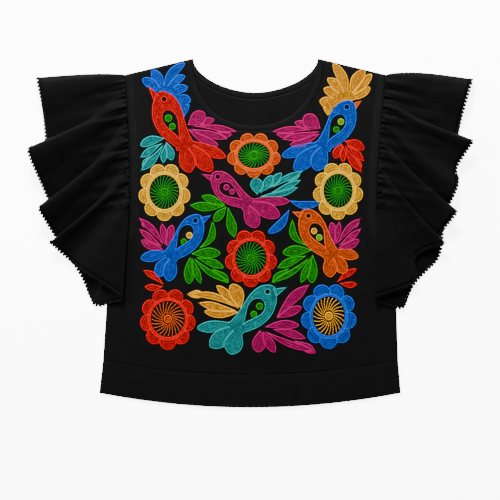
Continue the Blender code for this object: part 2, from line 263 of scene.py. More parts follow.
def node_group(name, inputs, outputs):
    """An empty shader node group with float, vector or colour sockets, and its two end nodes."""
    group = bpy.data.node_groups.new(name, "ShaderNodeTree")
    for socket, kind, value in inputs:
        made = group.interface.new_socket(name=socket, in_out="INPUT", socket_type="NodeSocket" + kind)
        if value is not None:
            made.default_value = value
    for socket, kind in outputs:
        group.interface.new_socket(name=socket, in_out="OUTPUT", socket_type="NodeSocket" + kind)
    return group, group.nodes.new("NodeGroupInput"), group.nodes.new("NodeGroupOutput")


def poplin_group():
    """Plain weave of fine threads with slubs, lint and slow changes of tone, over cloth metres."""
    group, start, end = node_group(
        "poplin weave",
        [("Vector", "Vector", None), ("Threads", "Float", 900.0), ("Slub", "Float", 0.5)],
        [("Height", "Float"), ("Tone", "Float"), ("Roughness", "Float")],
    )
    nodes, links = group.nodes, group.links
    warp, weft = nodes.new("ShaderNodeTexWave"), nodes.new("ShaderNodeTexWave")
    weft.bands_direction = "Y"
    for wave in (warp, weft):
        wave.inputs["Distortion"].default_value = 0.4
        links.new(start.outputs["Vector"], wave.inputs["Vector"])
        links.new(start.outputs["Threads"], wave.inputs["Scale"])
    weave = nodes.new("ShaderNodeMath")
    weave.operation = "MULTIPLY"
    links.new(warp.outputs["Fac"], weave.inputs[0])
    links.new(weft.outputs["Fac"], weave.inputs[1])
    slub = nodes.new("ShaderNodeTexNoise")
    slub.inputs["Scale"].default_value = 420.0
    slub.inputs["Detail"].default_value = 3.0
    tone = nodes.new("ShaderNodeTexNoise")
    tone.inputs["Scale"].default_value = 38.0
    tone.inputs["Detail"].default_value = 6.0
    for field in (slub, tone):
        links.new(start.outputs["Vector"], field.inputs["Vector"])
    height = nodes.new("ShaderNodeMath")
    height.operation = "MULTIPLY_ADD"
    links.new(slub.outputs["Fac"], height.inputs[0])
    links.new(start.outputs["Slub"], height.inputs[1])
    links.new(weave.outputs[0], height.inputs[2])
    links.new(height.outputs[0], end.inputs["Height"])
    links.new(tone.outputs["Fac"], end.inputs["Tone"])
    rough = nodes.new("ShaderNodeMapRange")
    rough.inputs["To Min"].default_value = 0.50
    rough.inputs["To Max"].default_value = 0.66
    links.new(slub.outputs["Fac"], rough.inputs["Value"])
    links.new(rough.outputs["Result"], end.inputs["Roughness"])
    return group


POPLIN = poplin_group()
# How much lighter the strip beside the armhole is painted: a painted sheen for the shine that it catches
PAINTED_SHEEN_TONE = 0.9


def cotton(name, dark, light, sheen, bump):
    """Matt black cotton whose tone moves between two blacks, painted lighter on the strip beside the armhole
    as a painted sheen.
    """
    material = bpy.data.materials.new(name)
    material.use_nodes = True
    nodes, links = material.node_tree.nodes, material.node_tree.links
    shader = nodes["Principled BSDF"]
    shader.inputs["Sheen Weight"].default_value = sheen
    shader.inputs["Sheen Roughness"].default_value = 0.45
    shader.inputs["Specular IOR Level"].default_value = 0.02
    place = nodes.new("ShaderNodeUVMap")
    place.uv_map = "cloth"
    weave = nodes.new("ShaderNodeGroup")
    weave.node_tree = POPLIN
    # Mask of the strip beside the armhole, whose cotton is painted lighter as a painted sheen
    painted_sheen = nodes.new("ShaderNodeAttribute")
    painted_sheen.attribute_name = "painted_sheen"
    tone = nodes.new("ShaderNodeMath")
    tone.operation = "MULTIPLY_ADD"
    tone.inputs[1].default_value = PAINTED_SHEEN_TONE
    colour = nodes.new("ShaderNodeMix")
    colour.data_type = "RGBA"
    colour.clamp_factor = False
    colour.inputs["A"].default_value = dark
    colour.inputs["B"].default_value = light
    relief = nodes.new("ShaderNodeBump")
    relief.inputs["Strength"].default_value = bump
    relief.inputs["Distance"].default_value = 0.0004
    links.new(place.outputs["UV"], weave.inputs["Vector"])
    links.new(painted_sheen.outputs["Fac"], tone.inputs[0])
    links.new(weave.outputs["Tone"], tone.inputs[2])
    links.new(tone.outputs[0], colour.inputs["Factor"])
    links.new(colour.outputs["Result"], shader.inputs["Base Color"])
    links.new(weave.outputs["Roughness"], shader.inputs["Roughness"])
    links.new(weave.outputs["Height"], relief.inputs["Height"])
    links.new(relief.outputs["Normal"], shader.inputs["Normal"])
    return material


def dress(piece, material, slot, *nodes):
    """Gives a finished piece its material and body, and hides the imported parts that it stands for."""
    piece.data.materials.clear()
    piece.data.materials.append(material)
    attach(piece, "root")
    if nodes:
        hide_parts(*nodes)


BODY_COTTON = cotton(
    "body_cotton", (0.0006, 0.0006, 0.0007, 1), (0.0014, 0.0014, 0.0015, 1), 0.002, 0.35
)

front = cloth_mesh("front_panel", body_grid(FRONT_NECK, front_height, ARMHOLE_ALLOWANCE))
# Painted sheen: a mask over the strip beside the armhole, where the cotton is painted lighter
painted_sheen = front.data.attributes.new("painted_sheen", "FLOAT", "POINT")
for vertex in front.data.vertices:
    x = vertex.co.x - CENTRE_X - LEAN * vertex.co.y
    painted_sheen.data[vertex.index].value = on_strip(x / side_half(vertex.co.y), vertex.co.y)
give_wall(front, SHELL, -1.0)
dress(front, BODY_COTTON, "cotton", "front")

# Back panel.  The same cotton, cut like the front with a shallower neck.  It lies flat on the
# surface, with the same creases pressed nearly away.
BACK_NECK = {"depth": 0.0527, "power": 1.8, "binding": 0.0090}
BACK_RELIEF = 0.15


def back_height(across, x, y):
    """Height of the back panel's face, with the same creases, but pressed nearly flat."""
    pressed_creases = creases(x, y) * BACK_RELIEF * ease(CREASE_FADE * (1 - abs(across)))
    return BACK_LEVEL + CLOTH / 2 - SEAM_GAP / 2 + pressed_creases


back = cloth_mesh("back_panel", body_grid(BACK_NECK, back_height, 0.0))
give_wall(back, SHELL, -1.0)
dress(back, BODY_COTTON, "cotton", "back")

# Hem bands.  A deep band of doubled cotton on each panel, seamed on with the raw edges inside and
# folded at the hem.  Its sides run on from the side seams and widen a little more to the hem.
HEM_CLOTH = 0.0016
FRONT_HEM_LEVEL = CLOTH + SEAM_GAP + HEM_CLOTH / 2
BAND_COLUMNS = 150
BAND_ROWS = 16
SEAM_RIDGE = 0.0005
SEAM_RIDGE_SHARE = 0.4
RIDGE_WIDTHS = {"hem": 0.10, "seam": 0.06}
BAND_PUCKER = 0.0003
BAND_PUCKER_SCALE = (90, 1.5, 900)
FRONT_BAND_WALL = 0.0011
BACK_BAND_WALL = 0.0010
BACK_BAND_RELIEF = 0.3


def band_grid(level, wall, relief):
    """Rows of points over a hem band: thinner at its fold and its seam, and faintly puckered."""
    rows = []
    along_scale, up_scale, level_scale = BAND_PUCKER_SCALE
    for r in range(BAND_ROWS + 1):
        up = ease(r / BAND_ROWS)
        side_y = mix(HEM_Y, BAND_SEAM_Y, up)
        row = []
        for c in range(BAND_COLUMNS + 1):
            across = -1 + 2 * c / BAND_COLUMNS
            x = across * side_half(side_y)
            spot = Vector((x * along_scale, up * up_scale, level * level_scale))
            pucker = BAND_PUCKER * noise.noise(spot) * math.sin(math.pi * up)
            at_hem = ease((RIDGE_WIDTHS["hem"] - up) / RIDGE_WIDTHS["hem"])
            at_seam = ease((up - 1 + RIDGE_WIDTHS["seam"]) / RIDGE_WIDTHS["seam"])
            ridge = -SEAM_RIDGE * (at_hem + SEAM_RIDGE_SHARE * at_seam)
            row.append(lay(x, hem_line(side_y, across), level + wall / 2 + relief * (pucker + ridge)))
        rows.append(row)
    return rows


BAND_COTTON = cotton(
    "band_cotton", (0.0006, 0.0006, 0.0007, 1), (0.0014, 0.0014, 0.0015, 1), 0.002, 0.35
)
hem_band_front = cloth_mesh("hem_band_front_cloth", band_grid(FRONT_HEM_LEVEL, HEM_CLOTH, 1.0))
give_wall(hem_band_front, FRONT_BAND_WALL, -1.0)
dress(hem_band_front, BAND_COTTON, "cotton", "hem_band_front")
hem_band_back = cloth_mesh("hem_band_back_cloth", band_grid(BACK_LEVEL, CLOTH, BACK_BAND_RELIEF))
give_wall(hem_band_back, BACK_BAND_WALL, -1.0)
dress(hem_band_back, BAND_COTTON, "cotton", "hem_band_back")

# Neck bindings.  A narrow bias strip folded over the raw edge of each neckline and topstitched,
# so it is full in the middle and thin at both edges.
BINDING_ROWS = 6
BINDING_COLUMNS = 70
BINDING_CROWN = 0.0004
BINDING_LAP = 0.0010
BINDING_WALL = 0.0007


def binding_grid(neck, level):
    """Rows of points over a neck binding, from its outer edge in to the neck's edge."""
    rows = []
    for r in range(BINDING_ROWS + 1):
        share = r / BINDING_ROWS
        offset = (neck["binding"] + BINDING_LAP) * (1 - share)
        crown = BINDING_CROWN * (math.sin(math.pi * share) - share)
        places = neck_places(NECK_HALF + offset, BINDING_COLUMNS)
        rows.append([lay(x, neck_y(x, neck, offset), level + CLOTH / 2 + crown) for x in places])
    return rows


BINDING_COTTON = cotton(
    "binding_cotton", (0.0008, 0.0008, 0.0009, 1), (0.0018, 0.0018, 0.0020, 1), 0.004, 0.35
)
neck_binding_front = cloth_mesh("neck_binding_front_cloth", binding_grid(FRONT_NECK, FRONT_LEVEL))
neck_binding_back = cloth_mesh("neck_binding_back_cloth", binding_grid(BACK_NECK, BACK_LEVEL))
for piece, node, area in (
    (neck_binding_front, "neck_binding_front", 0.00262),
    (neck_binding_back, "neck_binding_back", 0.00235),
):
    give_wall(piece, BINDING_WALL, -1.0)
    dress(piece, BINDING_COTTON, "binding", node)

# Ruffle sleeves.  One strip of the same cotton sewn all round each armhole, gathered on the front
# half and folded down by its own weight into a fan of deep cascading folds and a last panel.
RUFFLE_LEVEL = FRONT_LEVEL + CLOTH + SEAM_GAP
GATHERS_END_Y = 0.030
GATHERS_FADE = 0.018
FOLD_RISE_POWER = 0.7
FOLD_BOW_POWER = 0.7
TURN_BEFORE_ROW = 0.0040
TURN_AFTER_ROW = 0.0070
TURN_SHARE = 0.3
FRONT_ARMHOLE_GAP = 0.0004
BACK_ARMHOLE_GAP = 0.0014
UNDERARM_SPREAD = 0.0030
UNDERARM_TURN = 0.018
HEM_ROLL_DISTANCE = 0.0050
RUFFLE_ROWS = 40
RUFFLE_ROW_POWER = 1.5
COLUMNS_PER_STEP = {"front": 6, "back": 2}
PUCKER = 0.0009
PUCKER_SCALE = (22, 55, 90)
FOLD_CROWN = 0.0034
CROWN_SHARE = 0.5
# Gathers at the armhole: from one to the next, height, and how far they reach down the ruffle
GATHERS = ((0.0078, 0.0018, 0.013), (0.0190, 0.0022, 0.045))
GATHER_SLANT = 0.22
GATHER_SCALE = (0.7, 12, 900)
GATHER_DRIFT = 1.6
GATHER_DRIFT_SCALE = 60
GATHER_UNEVEN = {"height": 0.6, "reach": 0.7}
GATHER_FALL = 1.4
GATHER_ROUND = 0.8

# One row for each fold, from the shoulder down the front and back up behind: where its thread
# meets the hem and the armhole, how far it bows, and its number of columns to the next row
FOLD_COLUMNS = ("out", "y", "height", "seam_y", "seam_height", "bow", "steps")
RIGHT_RUFFLE = (
    (0.334, 0.238, 0.0090, 0.247, 0.0036, 0.003, 6),
    (0.320, 0.121, 0.0037, 0.230, 0.0036, -0.002, 3),
    (0.347, 0.133, 0.0200, 0.208, 0.0036, -0.005, 7),
    (0.312, 0.033, 0.0037, 0.182, 0.0036, -0.006, 3),
    (0.331, 0.042, 0.0190, 0.158, 0.0036, -0.006, 7),
    (0.298, -0.023, 0.0037, 0.120, 0.0036, -0.005, 3),
    (0.314, -0.013, 0.0160, 0.097, 0.0036, -0.004, 6),
    (0.284, -0.042, 0.0052, 0.071, 0.0042, -0.003, 3),
    (0.261, -0.059, 0.0100, 0.047, 0.0080, 0.000, 4),
    (0.199, -0.102, 0.0125, 0.030, 0.0064, 0.000, 1),
    (0.203, -0.106, 0.0080, 0.018, 0.0045, 0.000, 1),
    (0.219, -0.109, 0.0050, 0.006, 0.0036, 0.000, 4),
    (0.242, -0.114, 0.0042, -0.042, 0.0038, 0.000, 2),
    (0.251, -0.101, 0.0006, -0.048, 0.0006, 0.000, 2),
    (0.262, -0.075, 0.0006, -0.040, 0.0006, 0.000, 2),
    (0.273, -0.056, 0.0006, -0.032, 0.0006, 0.000, 2),
    (0.298, -0.014, 0.0006, -0.012, 0.0006, 0.000, 2),
    (0.313, 0.045, 0.0006, 0.030, 0.0006, 0.000, 3),
    (0.320, 0.115, 0.0006, 0.100, 0.0006, 0.000, 3),
    (0.326, 0.193, 0.0006, 0.175, 0.0006, 0.000, 3),
    (0.333, 0.235, 0.0006, 0.245, 0.0006, 0.001, 2),
    (0.336, 0.2435, 0.0045, 0.248, 0.0021, 0.003, 2),
)
LEFT_RUFFLE = (
    (0.345, 0.236, 0.0090, 0.247, 0.0036, 0.006, 6),
    (0.321, 0.126, 0.0037, 0.225, 0.0036, -0.002, 3),
    (0.346, 0.145, 0.0200, 0.206, 0.0036, -0.004, 4),
    (0.320, 0.097, 0.0100, 0.193, 0.0036, -0.005, 2),
    (0.324, 0.081, 0.0120, 0.183, 0.0036, -0.005, 4),
    (0.300, 0.018, 0.0037, 0.167, 0.0036, -0.006, 3),
    (0.322, 0.035, 0.0180, 0.150, 0.0036, -0.006, 6),
    (0.281, -0.024, 0.0037, 0.126, 0.0036, -0.005, 3),
    (0.304, -0.015, 0.0160, 0.106, 0.0036, -0.004, 6),
    (0.256, -0.037, 0.0052, 0.080, 0.0042, -0.003, 3),
    (0.256, -0.074, 0.0105, 0.050, 0.0080, 0.000, 4),
    (0.192, -0.102, 0.0125, 0.030, 0.0064, 0.000, 1),
    (0.197, -0.107, 0.0080, 0.018, 0.0045, 0.000, 1),
    (0.210, -0.112, 0.0050, 0.006, 0.0036, 0.000, 4),
    (0.238, -0.117, 0.0042, -0.042, 0.0038, 0.000, 2),
    (0.243, -0.104, 0.0006, -0.048, 0.0006, 0.000, 2),
    (0.257, -0.078, 0.0006, -0.040, 0.0006, 0.000, 2),
    (0.274, -0.060, 0.0006, -0.032, 0.0006, 0.000, 2),
    (0.296, -0.034, 0.0006, -0.016, 0.0006, 0.000, 2),
    (0.304, 0.045, 0.0006, 0.030, 0.0006, 0.000, 3),
    (0.321, 0.140, 0.0006, 0.115, 0.0006, 0.000, 3),
    (0.334, 0.209, 0.0006, 0.185, 0.0006, 0.000, 2),
    (0.342, 0.235, 0.0006, 0.245, 0.0006, 0.003, 2),
    (0.347, 0.241, 0.0045, 0.248, 0.0021, 0.006, 2),
)


def smooth_between(before, start, end, after, t):
    """A point between start and end on a smooth curve that also passes before and after."""
    spans = [(b - a).length ** 0.5 for a, b in ((before, start), (start, end), (end, after))]
    leave = (start - before) / spans[0] - (end - before) / (spans[0] + spans[1]) + (end - start) / spans[1]
    arrive = (end - start) / spans[1] - (after - start) / (spans[1] + spans[2]) + (after - end) / spans[2]
    leave, arrive = leave * spans[1], arrive * spans[1]
    t2, t3 = t * t, t * t * t
    return (
        start * (2 * t3 - 3 * t2 + 1) + leave * (t3 - 2 * t2 + t)
        + end * (3 * t2 - 2 * t3) + arrive * (t3 - t2)
    )


def gathering(x, y):
    """How far the gathers push the ruffle up at a place beside the front armhole, unevenly."""
    away = max(0.0, abs(x - CENTRE_X - LEAN * y) - side_half(y))
    fade = ease((y - GATHERS_END_Y) / GATHERS_FADE) * ease((SHOULDER_Y - y) / GATHERS_FADE)
    height = 0.0
    along_scale, out_scale, pitch_scale = GATHER_SCALE
    for pitch, peak, reach in GATHERS:
        uneven = noise.noise(Vector((y / pitch * along_scale, x * out_scale, pitch * pitch_scale)))
        drift = GATHER_DRIFT * noise.noise(Vector((y * GATHER_DRIFT_SCALE, 5, pitch)))
        turn = 2 * math.pi * (y + GATHER_SLANT * away) / pitch + drift
        far = math.exp(-((away / (reach * (1 + GATHER_UNEVEN["reach"] * uneven))) ** GATHER_FALL))
        round_top = (0.5 - 0.5 * math.cos(turn)) ** GATHER_ROUND
        height += peak * (1 + GATHER_UNEVEN["height"] * uneven) * far * round_top
    return fade * height


def armhole_gap(seam_y, seam_height):
    """How far the ruffle's seam stands off the body's edge: close in front, wider under the arm."""
    back_gap = BACK_ARMHOLE_GAP + UNDERARM_SPREAD * ease((UNDERARM_Y - seam_y) / UNDERARM_TURN)
    share = (seam_height - BACK_LEVEL) / (RUFFLE_LEVEL - BACK_LEVEL)
    return mix(back_gap, FRONT_ARMHOLE_GAP, min(1.0, share))


def ruffle_columns(table, side):
    """The ruffle's threads from armhole to hem: both ends and the bow of each."""
    folds = [dict(zip(FOLD_COLUMNS, row)) for row in table]
    ends = [Vector((side * f["out"], f["y"], f["height"])) for f in folds]
    columns = []
    for i, fold in enumerate(folds):
        after = folds[(i + 1) % len(folds)]
        points = [ends[(i + k) % len(folds)] for k in (-1, 0, 1, 2)]
        span = (points[2] - points[1]).length
        first = min(TURN_SHARE, TURN_AFTER_ROW / span)
        last = 1 - min(TURN_SHARE, TURN_BEFORE_ROW / span)
        falling = after["height"] < fold["height"]
        half = "front" if fold["seam_height"] > FRONT_LEVEL else "back"
        steps = fold["steps"] * COLUMNS_PER_STEP[half]
        for step in range(steps + 1):
            t = mix(first, last, step / steps)
            hem = smooth_between(*points, t)
            hem.z = mix(fold["height"], after["height"], ease(t) if falling else t)
            if falling and fold["seam_y"] > GATHERS_END_Y:
                hem.z += FOLD_CROWN * math.sin(math.pi * min(1.0, t / CROWN_SHARE))
            seam_y = mix(fold["seam_y"], after["seam_y"], t)
            seam_height = mix(fold["seam_height"], after["seam_height"], t)
            seam_x = side_half(seam_y) + armhole_gap(seam_y, seam_height)
            seam = lay(side * seam_x, seam_y, seam_height)
            columns.append((seam, hem, mix(fold["bow"], after["bow"], t)))
    return columns


def ruffle_point(column, v):
    """The cloth of a ruffle at v, from 0 at the armhole to 1 at the outer edge of its trim."""
    seam, hem, bow = column
    flat = seam.lerp(hem, v)
    place = Vector((flat.x, flat.y + bow * math.sin(math.pi * v**FOLD_BOW_POWER), 0))
    height = mix(seam.z, hem.z, v**FOLD_RISE_POWER)
    if seam.z > FRONT_LEVEL + CLOTH:
        height += gathering(place.x, place.y)
        out_scale, along_scale, fold_scale = PUCKER_SCALE
        waves = noise.noise(Vector((flat.x * out_scale, flat.y * along_scale, hem.z * fold_scale)))
        height += PUCKER * waves * math.sin(math.pi * min(1.0, v))
    return place + Vector((0, 0, height))


def near_hem(column, distance):
    """How far down a ruffle's thread a place lies that is a distance short of its end."""
    return 1 - distance / (column[1] - column[0]).length


# The same cotton as the body, painted darker: painted shade for the ruffle's deep folds
SHADED_RUFFLE_COTTON = cotton(
    "ruffle_cotton_painted_shade", (0.0002, 0.0002, 0.0002, 1), (0.0008, 0.0008, 0.0009, 1), 0.001, 0.35
)
ruffles = {}
for side_name, side, table, area in (
    ("right", -1, RIGHT_RUFFLE, 0.084), ("left", 1, LEFT_RUFFLE, 0.078),
):
    columns = ruffle_columns(table, side)
    rows = []
    for r in range(RUFFLE_ROWS + 1):
        share = (r / RUFFLE_ROWS) ** RUFFLE_ROW_POWER
        rows.append([ruffle_point(c, share * near_hem(c, HEM_ROLL_DISTANCE)) for c in columns])
    if side > 0:
        rows = [row[::-1] for row in rows]
    ruffle = cloth_mesh("ruffle_%s_cloth" % side_name, rows, closed=True)
    give_wall(ruffle, SHELL, 0.0)
    dress(ruffle, SHADED_RUFFLE_COTTON, "cotton", "ruffle_" + side_name)
    ruffles[side_name] = (ruffle, columns, area)

# Picot trim.  A rolled hem along the ruffle's edge with a row of small full loops of black
# cotton thread hooked into it, less than 6 mm apart.
PICOT_PITCH = 0.0057
PICOT_LOOP = (0.22, 0.24)
PICOT_TURN = (0.6, 5.68, 10)
PICOT_THREAD = 0.22
PICOT_HEIGHT = 0.0030
PICOT_SIDES = 6
ROLL_RADIUS = 0.0008
ROLL_SIDES = 6
LOOP_SHADE, ROLL_SHADE = 0.5, 0.4


def tube_mesh(name, paths, radius, sides, closed):
    """Round tubes along paths, with flat ends where they are open, as one mesh."""
    points, faces = [], []
    for path in paths:
        count = len(path)
        base = len(points)
        for i, p in enumerate(path):
            before = path[i - 1] if closed or i else p
            after = path[(i + 1) % count] if closed or i < count - 1 else p
            along = (after - before).normalized()
            across = along.cross(Vector((0, 0, 1)))
            across = across.normalized() if across.length > 1e-4 else Vector((1, 0, 0))
            up = across.cross(along)
            for s in range(sides):
                turn = 2 * math.pi * s / sides
                points.append(p + across * radius * math.cos(turn) + up * radius * math.sin(turn))
        for i in range(count if closed else count - 1):
            low, high = base + i * sides, base + (i + 1) % count * sides
            for s in range(sides):
                after = (s + 1) % sides
                faces.append((low + s, high + s, high + after, low + after))
        if not closed:
            faces.append(tuple(base + s for s in range(sides)))
            faces.append(tuple(base + (count - 1) * sides + s for s in reversed(range(sides))))
    mesh = bpy.data.meshes.new(name)
    mesh.from_pydata(points, [], faces)
    mesh.shade_smooth()
    return mesh


def instance_tree(name):
    """A Geometry Nodes tree that sets a small mesh on every point, turned by the point's own
    along and up directions.  It is Length by Width by Height, times the point's own size, and
    keeps the point's shade."""
    tree = bpy.data.node_groups.new(name, "GeometryNodeTree")
    tree.is_modifier = True
    for socket, kind in (
        ("Geometry", "Geometry"), ("Unit", "Object"), ("Finish", "Material"),
        ("Length", "Float"), ("Width", "Float"), ("Height", "Float"),
    ):
        tree.interface.new_socket(name=socket, in_out="INPUT", socket_type="NodeSocket" + kind)
    tree.interface.new_socket(name="Geometry", in_out="OUTPUT", socket_type="NodeSocketGeometry")
    nodes, links = tree.nodes, tree.links
    start, end = nodes.new("NodeGroupInput"), nodes.new("NodeGroupOutput")
    fields = {}
    for field in ("along", "up", "size"):
        fields[field] = nodes.new("GeometryNodeInputNamedAttribute")
        fields[field].data_type = "FLOAT_VECTOR"
        fields[field].inputs["Name"].default_value = field
    turn = nodes.new("FunctionNodeAxesToRotation")
    turn.primary_axis = "X"
    turn.secondary_axis = "Z"
    whole = nodes.new("ShaderNodeCombineXYZ")
    scale = nodes.new("ShaderNodeVectorMath")
    scale.operation = "MULTIPLY"
    for socket, axis in (("Length", "X"), ("Width", "Y"), ("Height", "Z")):
        links.new(start.outputs[socket], whole.inputs[axis])
    links.new(fields["size"].outputs["Attribute"], scale.inputs[0])
    links.new(whole.outputs["Vector"], scale.inputs[1])
    unit = nodes.new("GeometryNodeObjectInfo")
    spread = nodes.new("GeometryNodeInstanceOnPoints")
    real = nodes.new("GeometryNodeRealizeInstances")
    finish = nodes.new("GeometryNodeSetMaterial")
    links.new(fields["along"].outputs["Attribute"], turn.inputs["Primary Axis"])
    links.new(fields["up"].outputs["Attribute"], turn.inputs["Secondary Axis"])
    links.new(start.outputs["Unit"], unit.inputs["Object"])
    links.new(start.outputs["Geometry"], spread.inputs["Points"])
    links.new(unit.outputs["Geometry"], spread.inputs["Instance"])
    links.new(turn.outputs["Rotation"], spread.inputs["Rotation"])
    links.new(scale.outputs["Vector"], spread.inputs["Scale"])
    links.new(spread.outputs["Instances"], real.inputs["Geometry"])
    links.new(real.outputs["Geometry"], finish.inputs["Geometry"])
    links.new(start.outputs["Finish"], finish.inputs["Material"])
    links.new(finish.outputs["Geometry"], end.inputs["Geometry"])
    return tree


SET_ALONG = instance_tree("units set on points")


def set_units(name, spots, unit, sizes, material):
    """A plain mesh of a unit of three sizes set on every spot: (place, along, up, size, shade)."""
    mesh = bpy.data.meshes.new(name + "_spots")
    mesh.from_pydata([s[0] for s in spots], [], [])
    along = [s[1].normalized() for s in spots]
    up = [s[2].normalized() for s in spots]
    for field, ways in (("along", along), ("up", up), ("size", [s[3] for s in spots])):
        made = mesh.attributes.new(field, "FLOAT_VECTOR", "POINT")
        made.data.foreach_set("vector", [c for way in ways for c in way])
    shade = mesh.attributes.new("shade", "FLOAT", "POINT")
    shade.data.foreach_set("value", [s[4] for s in spots])
    holder = bpy.data.objects.new(name + "_spots", mesh)
    bpy.context.scene.collection.objects.link(holder)
    setter = holder.modifiers.new("units", "NODES")
    setter.node_group = SET_ALONG
    items = SET_ALONG.interface.items_tree
    sockets = {item.name: item.identifier for item in items if item.in_out == "INPUT"}
    setter[sockets["Unit"]] = unit
    setter[sockets["Finish"]] = material
    for socket, size in zip(("Length", "Width", "Height"), sizes):
        setter[sockets[socket]] = size
    evaluated = holder.evaluated_get(bpy.context.evaluated_depsgraph_get())
    made = bpy.data.meshes.new_from_object(evaluated)
    bpy.data.objects.remove(holder)
    made.name = name
    made.shade_smooth()
    return made


def unit_object(name, mesh):
    unit = bpy.data.objects.new(name, mesh)
    bpy.context.scene.collection.objects.link(unit)
    return unit


def thread_group():
    """Twisted thread: fine streaks of height and tone over an object's own metres."""
    group, start, end = node_group(
        "twisted thread",
        [("Vector", "Vector", None), ("Twist", "Float", 2600.0)],
        [("Height", "Float"), ("Tone", "Float")],
    )
    nodes, links = group.nodes, group.links
    twist = nodes.new("ShaderNodeTexWave")
    twist.bands_direction = "DIAGONAL"
    twist.inputs["Distortion"].default_value = 3.0
    fuzz = nodes.new("ShaderNodeTexNoise")
    fuzz.inputs["Scale"].default_value = 260.0
    fuzz.inputs["Detail"].default_value = 4.0
    links.new(start.outputs["Vector"], twist.inputs["Vector"])
    links.new(start.outputs["Vector"], fuzz.inputs["Vector"])
    links.new(start.outputs["Twist"], twist.inputs["Scale"])
    links.new(twist.outputs["Fac"], end.inputs["Height"])
    links.new(fuzz.outputs["Fac"], end.inputs["Tone"])
    return group


THREAD = thread_group()


def thread(name, dark, bright, roughness, gloss):
    """Stranded thread between a dark and a bright colour, by each stitch's shade value; on the embroidery the
    dark colour is painted shade.
    """
    material = bpy.data.materials.new(name)
    material.use_nodes = True
    nodes, links = material.node_tree.nodes, material.node_tree.links
    shader = nodes["Principled BSDF"]
    shader.inputs["Roughness"].default_value = roughness
    shader.inputs["Specular IOR Level"].default_value = gloss
    place = nodes.new("ShaderNodeTexCoord")
    twist = nodes.new("ShaderNodeGroup")
    twist.node_tree = THREAD
    shade = nodes.new("ShaderNodeAttribute")
    shade.attribute_name = "shade"
    tone = nodes.new("ShaderNodeMath")
    tone.operation = "MULTIPLY_ADD"
    tone.inputs[1].default_value = 0.5
    tone.use_clamp = True
    lower = nodes.new("ShaderNodeMath")
    lower.operation = "SUBTRACT"
    lower.inputs[1].default_value = 0.25
    colour = nodes.new("ShaderNodeMix")
    colour.data_type = "RGBA"
    colour.inputs["A"].default_value = dark
    colour.inputs["B"].default_value = bright
    relief = nodes.new("ShaderNodeBump")
    relief.inputs["Strength"].default_value = 0.4
    relief.inputs["Distance"].default_value = 0.0002
    links.new(place.outputs["Object"], twist.inputs["Vector"])
    links.new(shade.outputs["Fac"], lower.inputs[0])
    links.new(twist.outputs["Tone"], tone.inputs[0])
    links.new(lower.outputs[0], tone.inputs[2])
    links.new(tone.outputs[0], colour.inputs["Factor"])
    links.new(colour.outputs["Result"], shader.inputs["Base Color"])
    links.new(twist.outputs["Height"], relief.inputs["Height"])
    links.new(relief.outputs["Normal"], shader.inputs["Normal"])
    return material


def join(name, *meshes):
    """One object from finished meshes that share a material."""
    piece = bpy.data.objects.new(name, meshes[0])
    bpy.context.scene.collection.objects.link(piece)
    others = []
    for mesh in meshes[1:]:
        other = bpy.data.objects.new(name + "_part", mesh)
        bpy.context.scene.collection.objects.link(other)
        others.append(other)
    if others:
        with bpy.context.temp_override(active_object=piece, selected_editable_objects=[piece] + others):
            bpy.ops.object.join()
    return piece


def picot_mesh():
    """A round loop on two legs, one unit wide at its foot and one unit long, of thick thread."""
    wide, long = PICOT_LOOP
    middle = 1 - long - PICOT_THREAD
    turns = np.linspace(*PICOT_TURN)
    loop = [Vector((-wide * math.sin(t), middle - long * math.cos(t), 0)) for t in turns]
    path = [Vector((-0.50, 0, 0))] + loop + [Vector((0.50, 0, 0))]
    return tube_mesh("picot", [path], PICOT_THREAD, PICOT_SIDES, False)


TRIM_THREAD = thread(
    "trim_thread", (0.0004, 0.0004, 0.0004, 1), (0.0012, 0.0012, 0.0013, 1), 0.6, 0.02
)
picot = unit_object("picot_unit", picot_mesh())
for side_name, (ruffle, columns, area) in ruffles.items():
    inner = [ruffle_point(c, near_hem(c, HEM_ROLL_DISTANCE)) for c in columns]
    outer = [ruffle_point(c, 1.0) for c in columns]
    inside = [ruffle_point(c, near_hem(c, 2 * HEM_ROLL_DISTANCE)) for c in columns]
    spots = []
    walked, due = 0.0, 0.0
    for i, here in enumerate(inner):
        after = (i + 1) % len(inner)
        length = (inner[after] - here).length
        while length > 0 and due <= walked + length:
            t = (due - walked) / length
            place = here.lerp(inner[after], t)
            out = outer[i].lerp(outer[after], t) - place
            along = inner[after] - here
            up = along.cross(out)
            if up.length > 1e-12:
                spots.append((place, out.cross(up), up, (1.0, out.length, 1.0), LOOP_SHADE))
            due += PICOT_PITCH
        walked += length
    roll = tube_mesh("roll", [inner], ROLL_RADIUS, ROLL_SIDES, True)
    shade = roll.attributes.new("shade", "FLOAT", "POINT")
    shade.data.foreach_set("value", [ROLL_SHADE] * len(roll.vertices))
    sizes = (PICOT_PITCH, 1.0, PICOT_HEIGHT)
    loops = set_units("picots_" + side_name, spots, picot, sizes, TRIM_THREAD)
    trim = join("picot_trim_" + side_name, loops, roll)
    dress(trim, TRIM_THREAD, "trim", "trim_" + side_name)
bpy.data.objects.remove(picot)

# Sewing.  Black thread: topstitching along the neck bindings, beside the armholes, below the
# band seam and along the hem, in short straight stitches.
STITCH_LENGTH = 0.0026
STITCH_PITCH = 0.0031
SEWING_WIDTH = 0.00055
SEWING_SHADE = 0.5
ARMHOLE_TOPSTITCH = 0.0115
ARMHOLE_STITCHED = (0.246, -0.028)
NECK_STITCH_INSETS = (0.0012, 0.0010)
BAND_STITCH_DROP = 0.0045
HEM_STITCH_RISE = 0.0030
BAND_STITCHED = 0.995
NECK_STITCHED = 0.99
PROBE_HEIGHT = 0.1


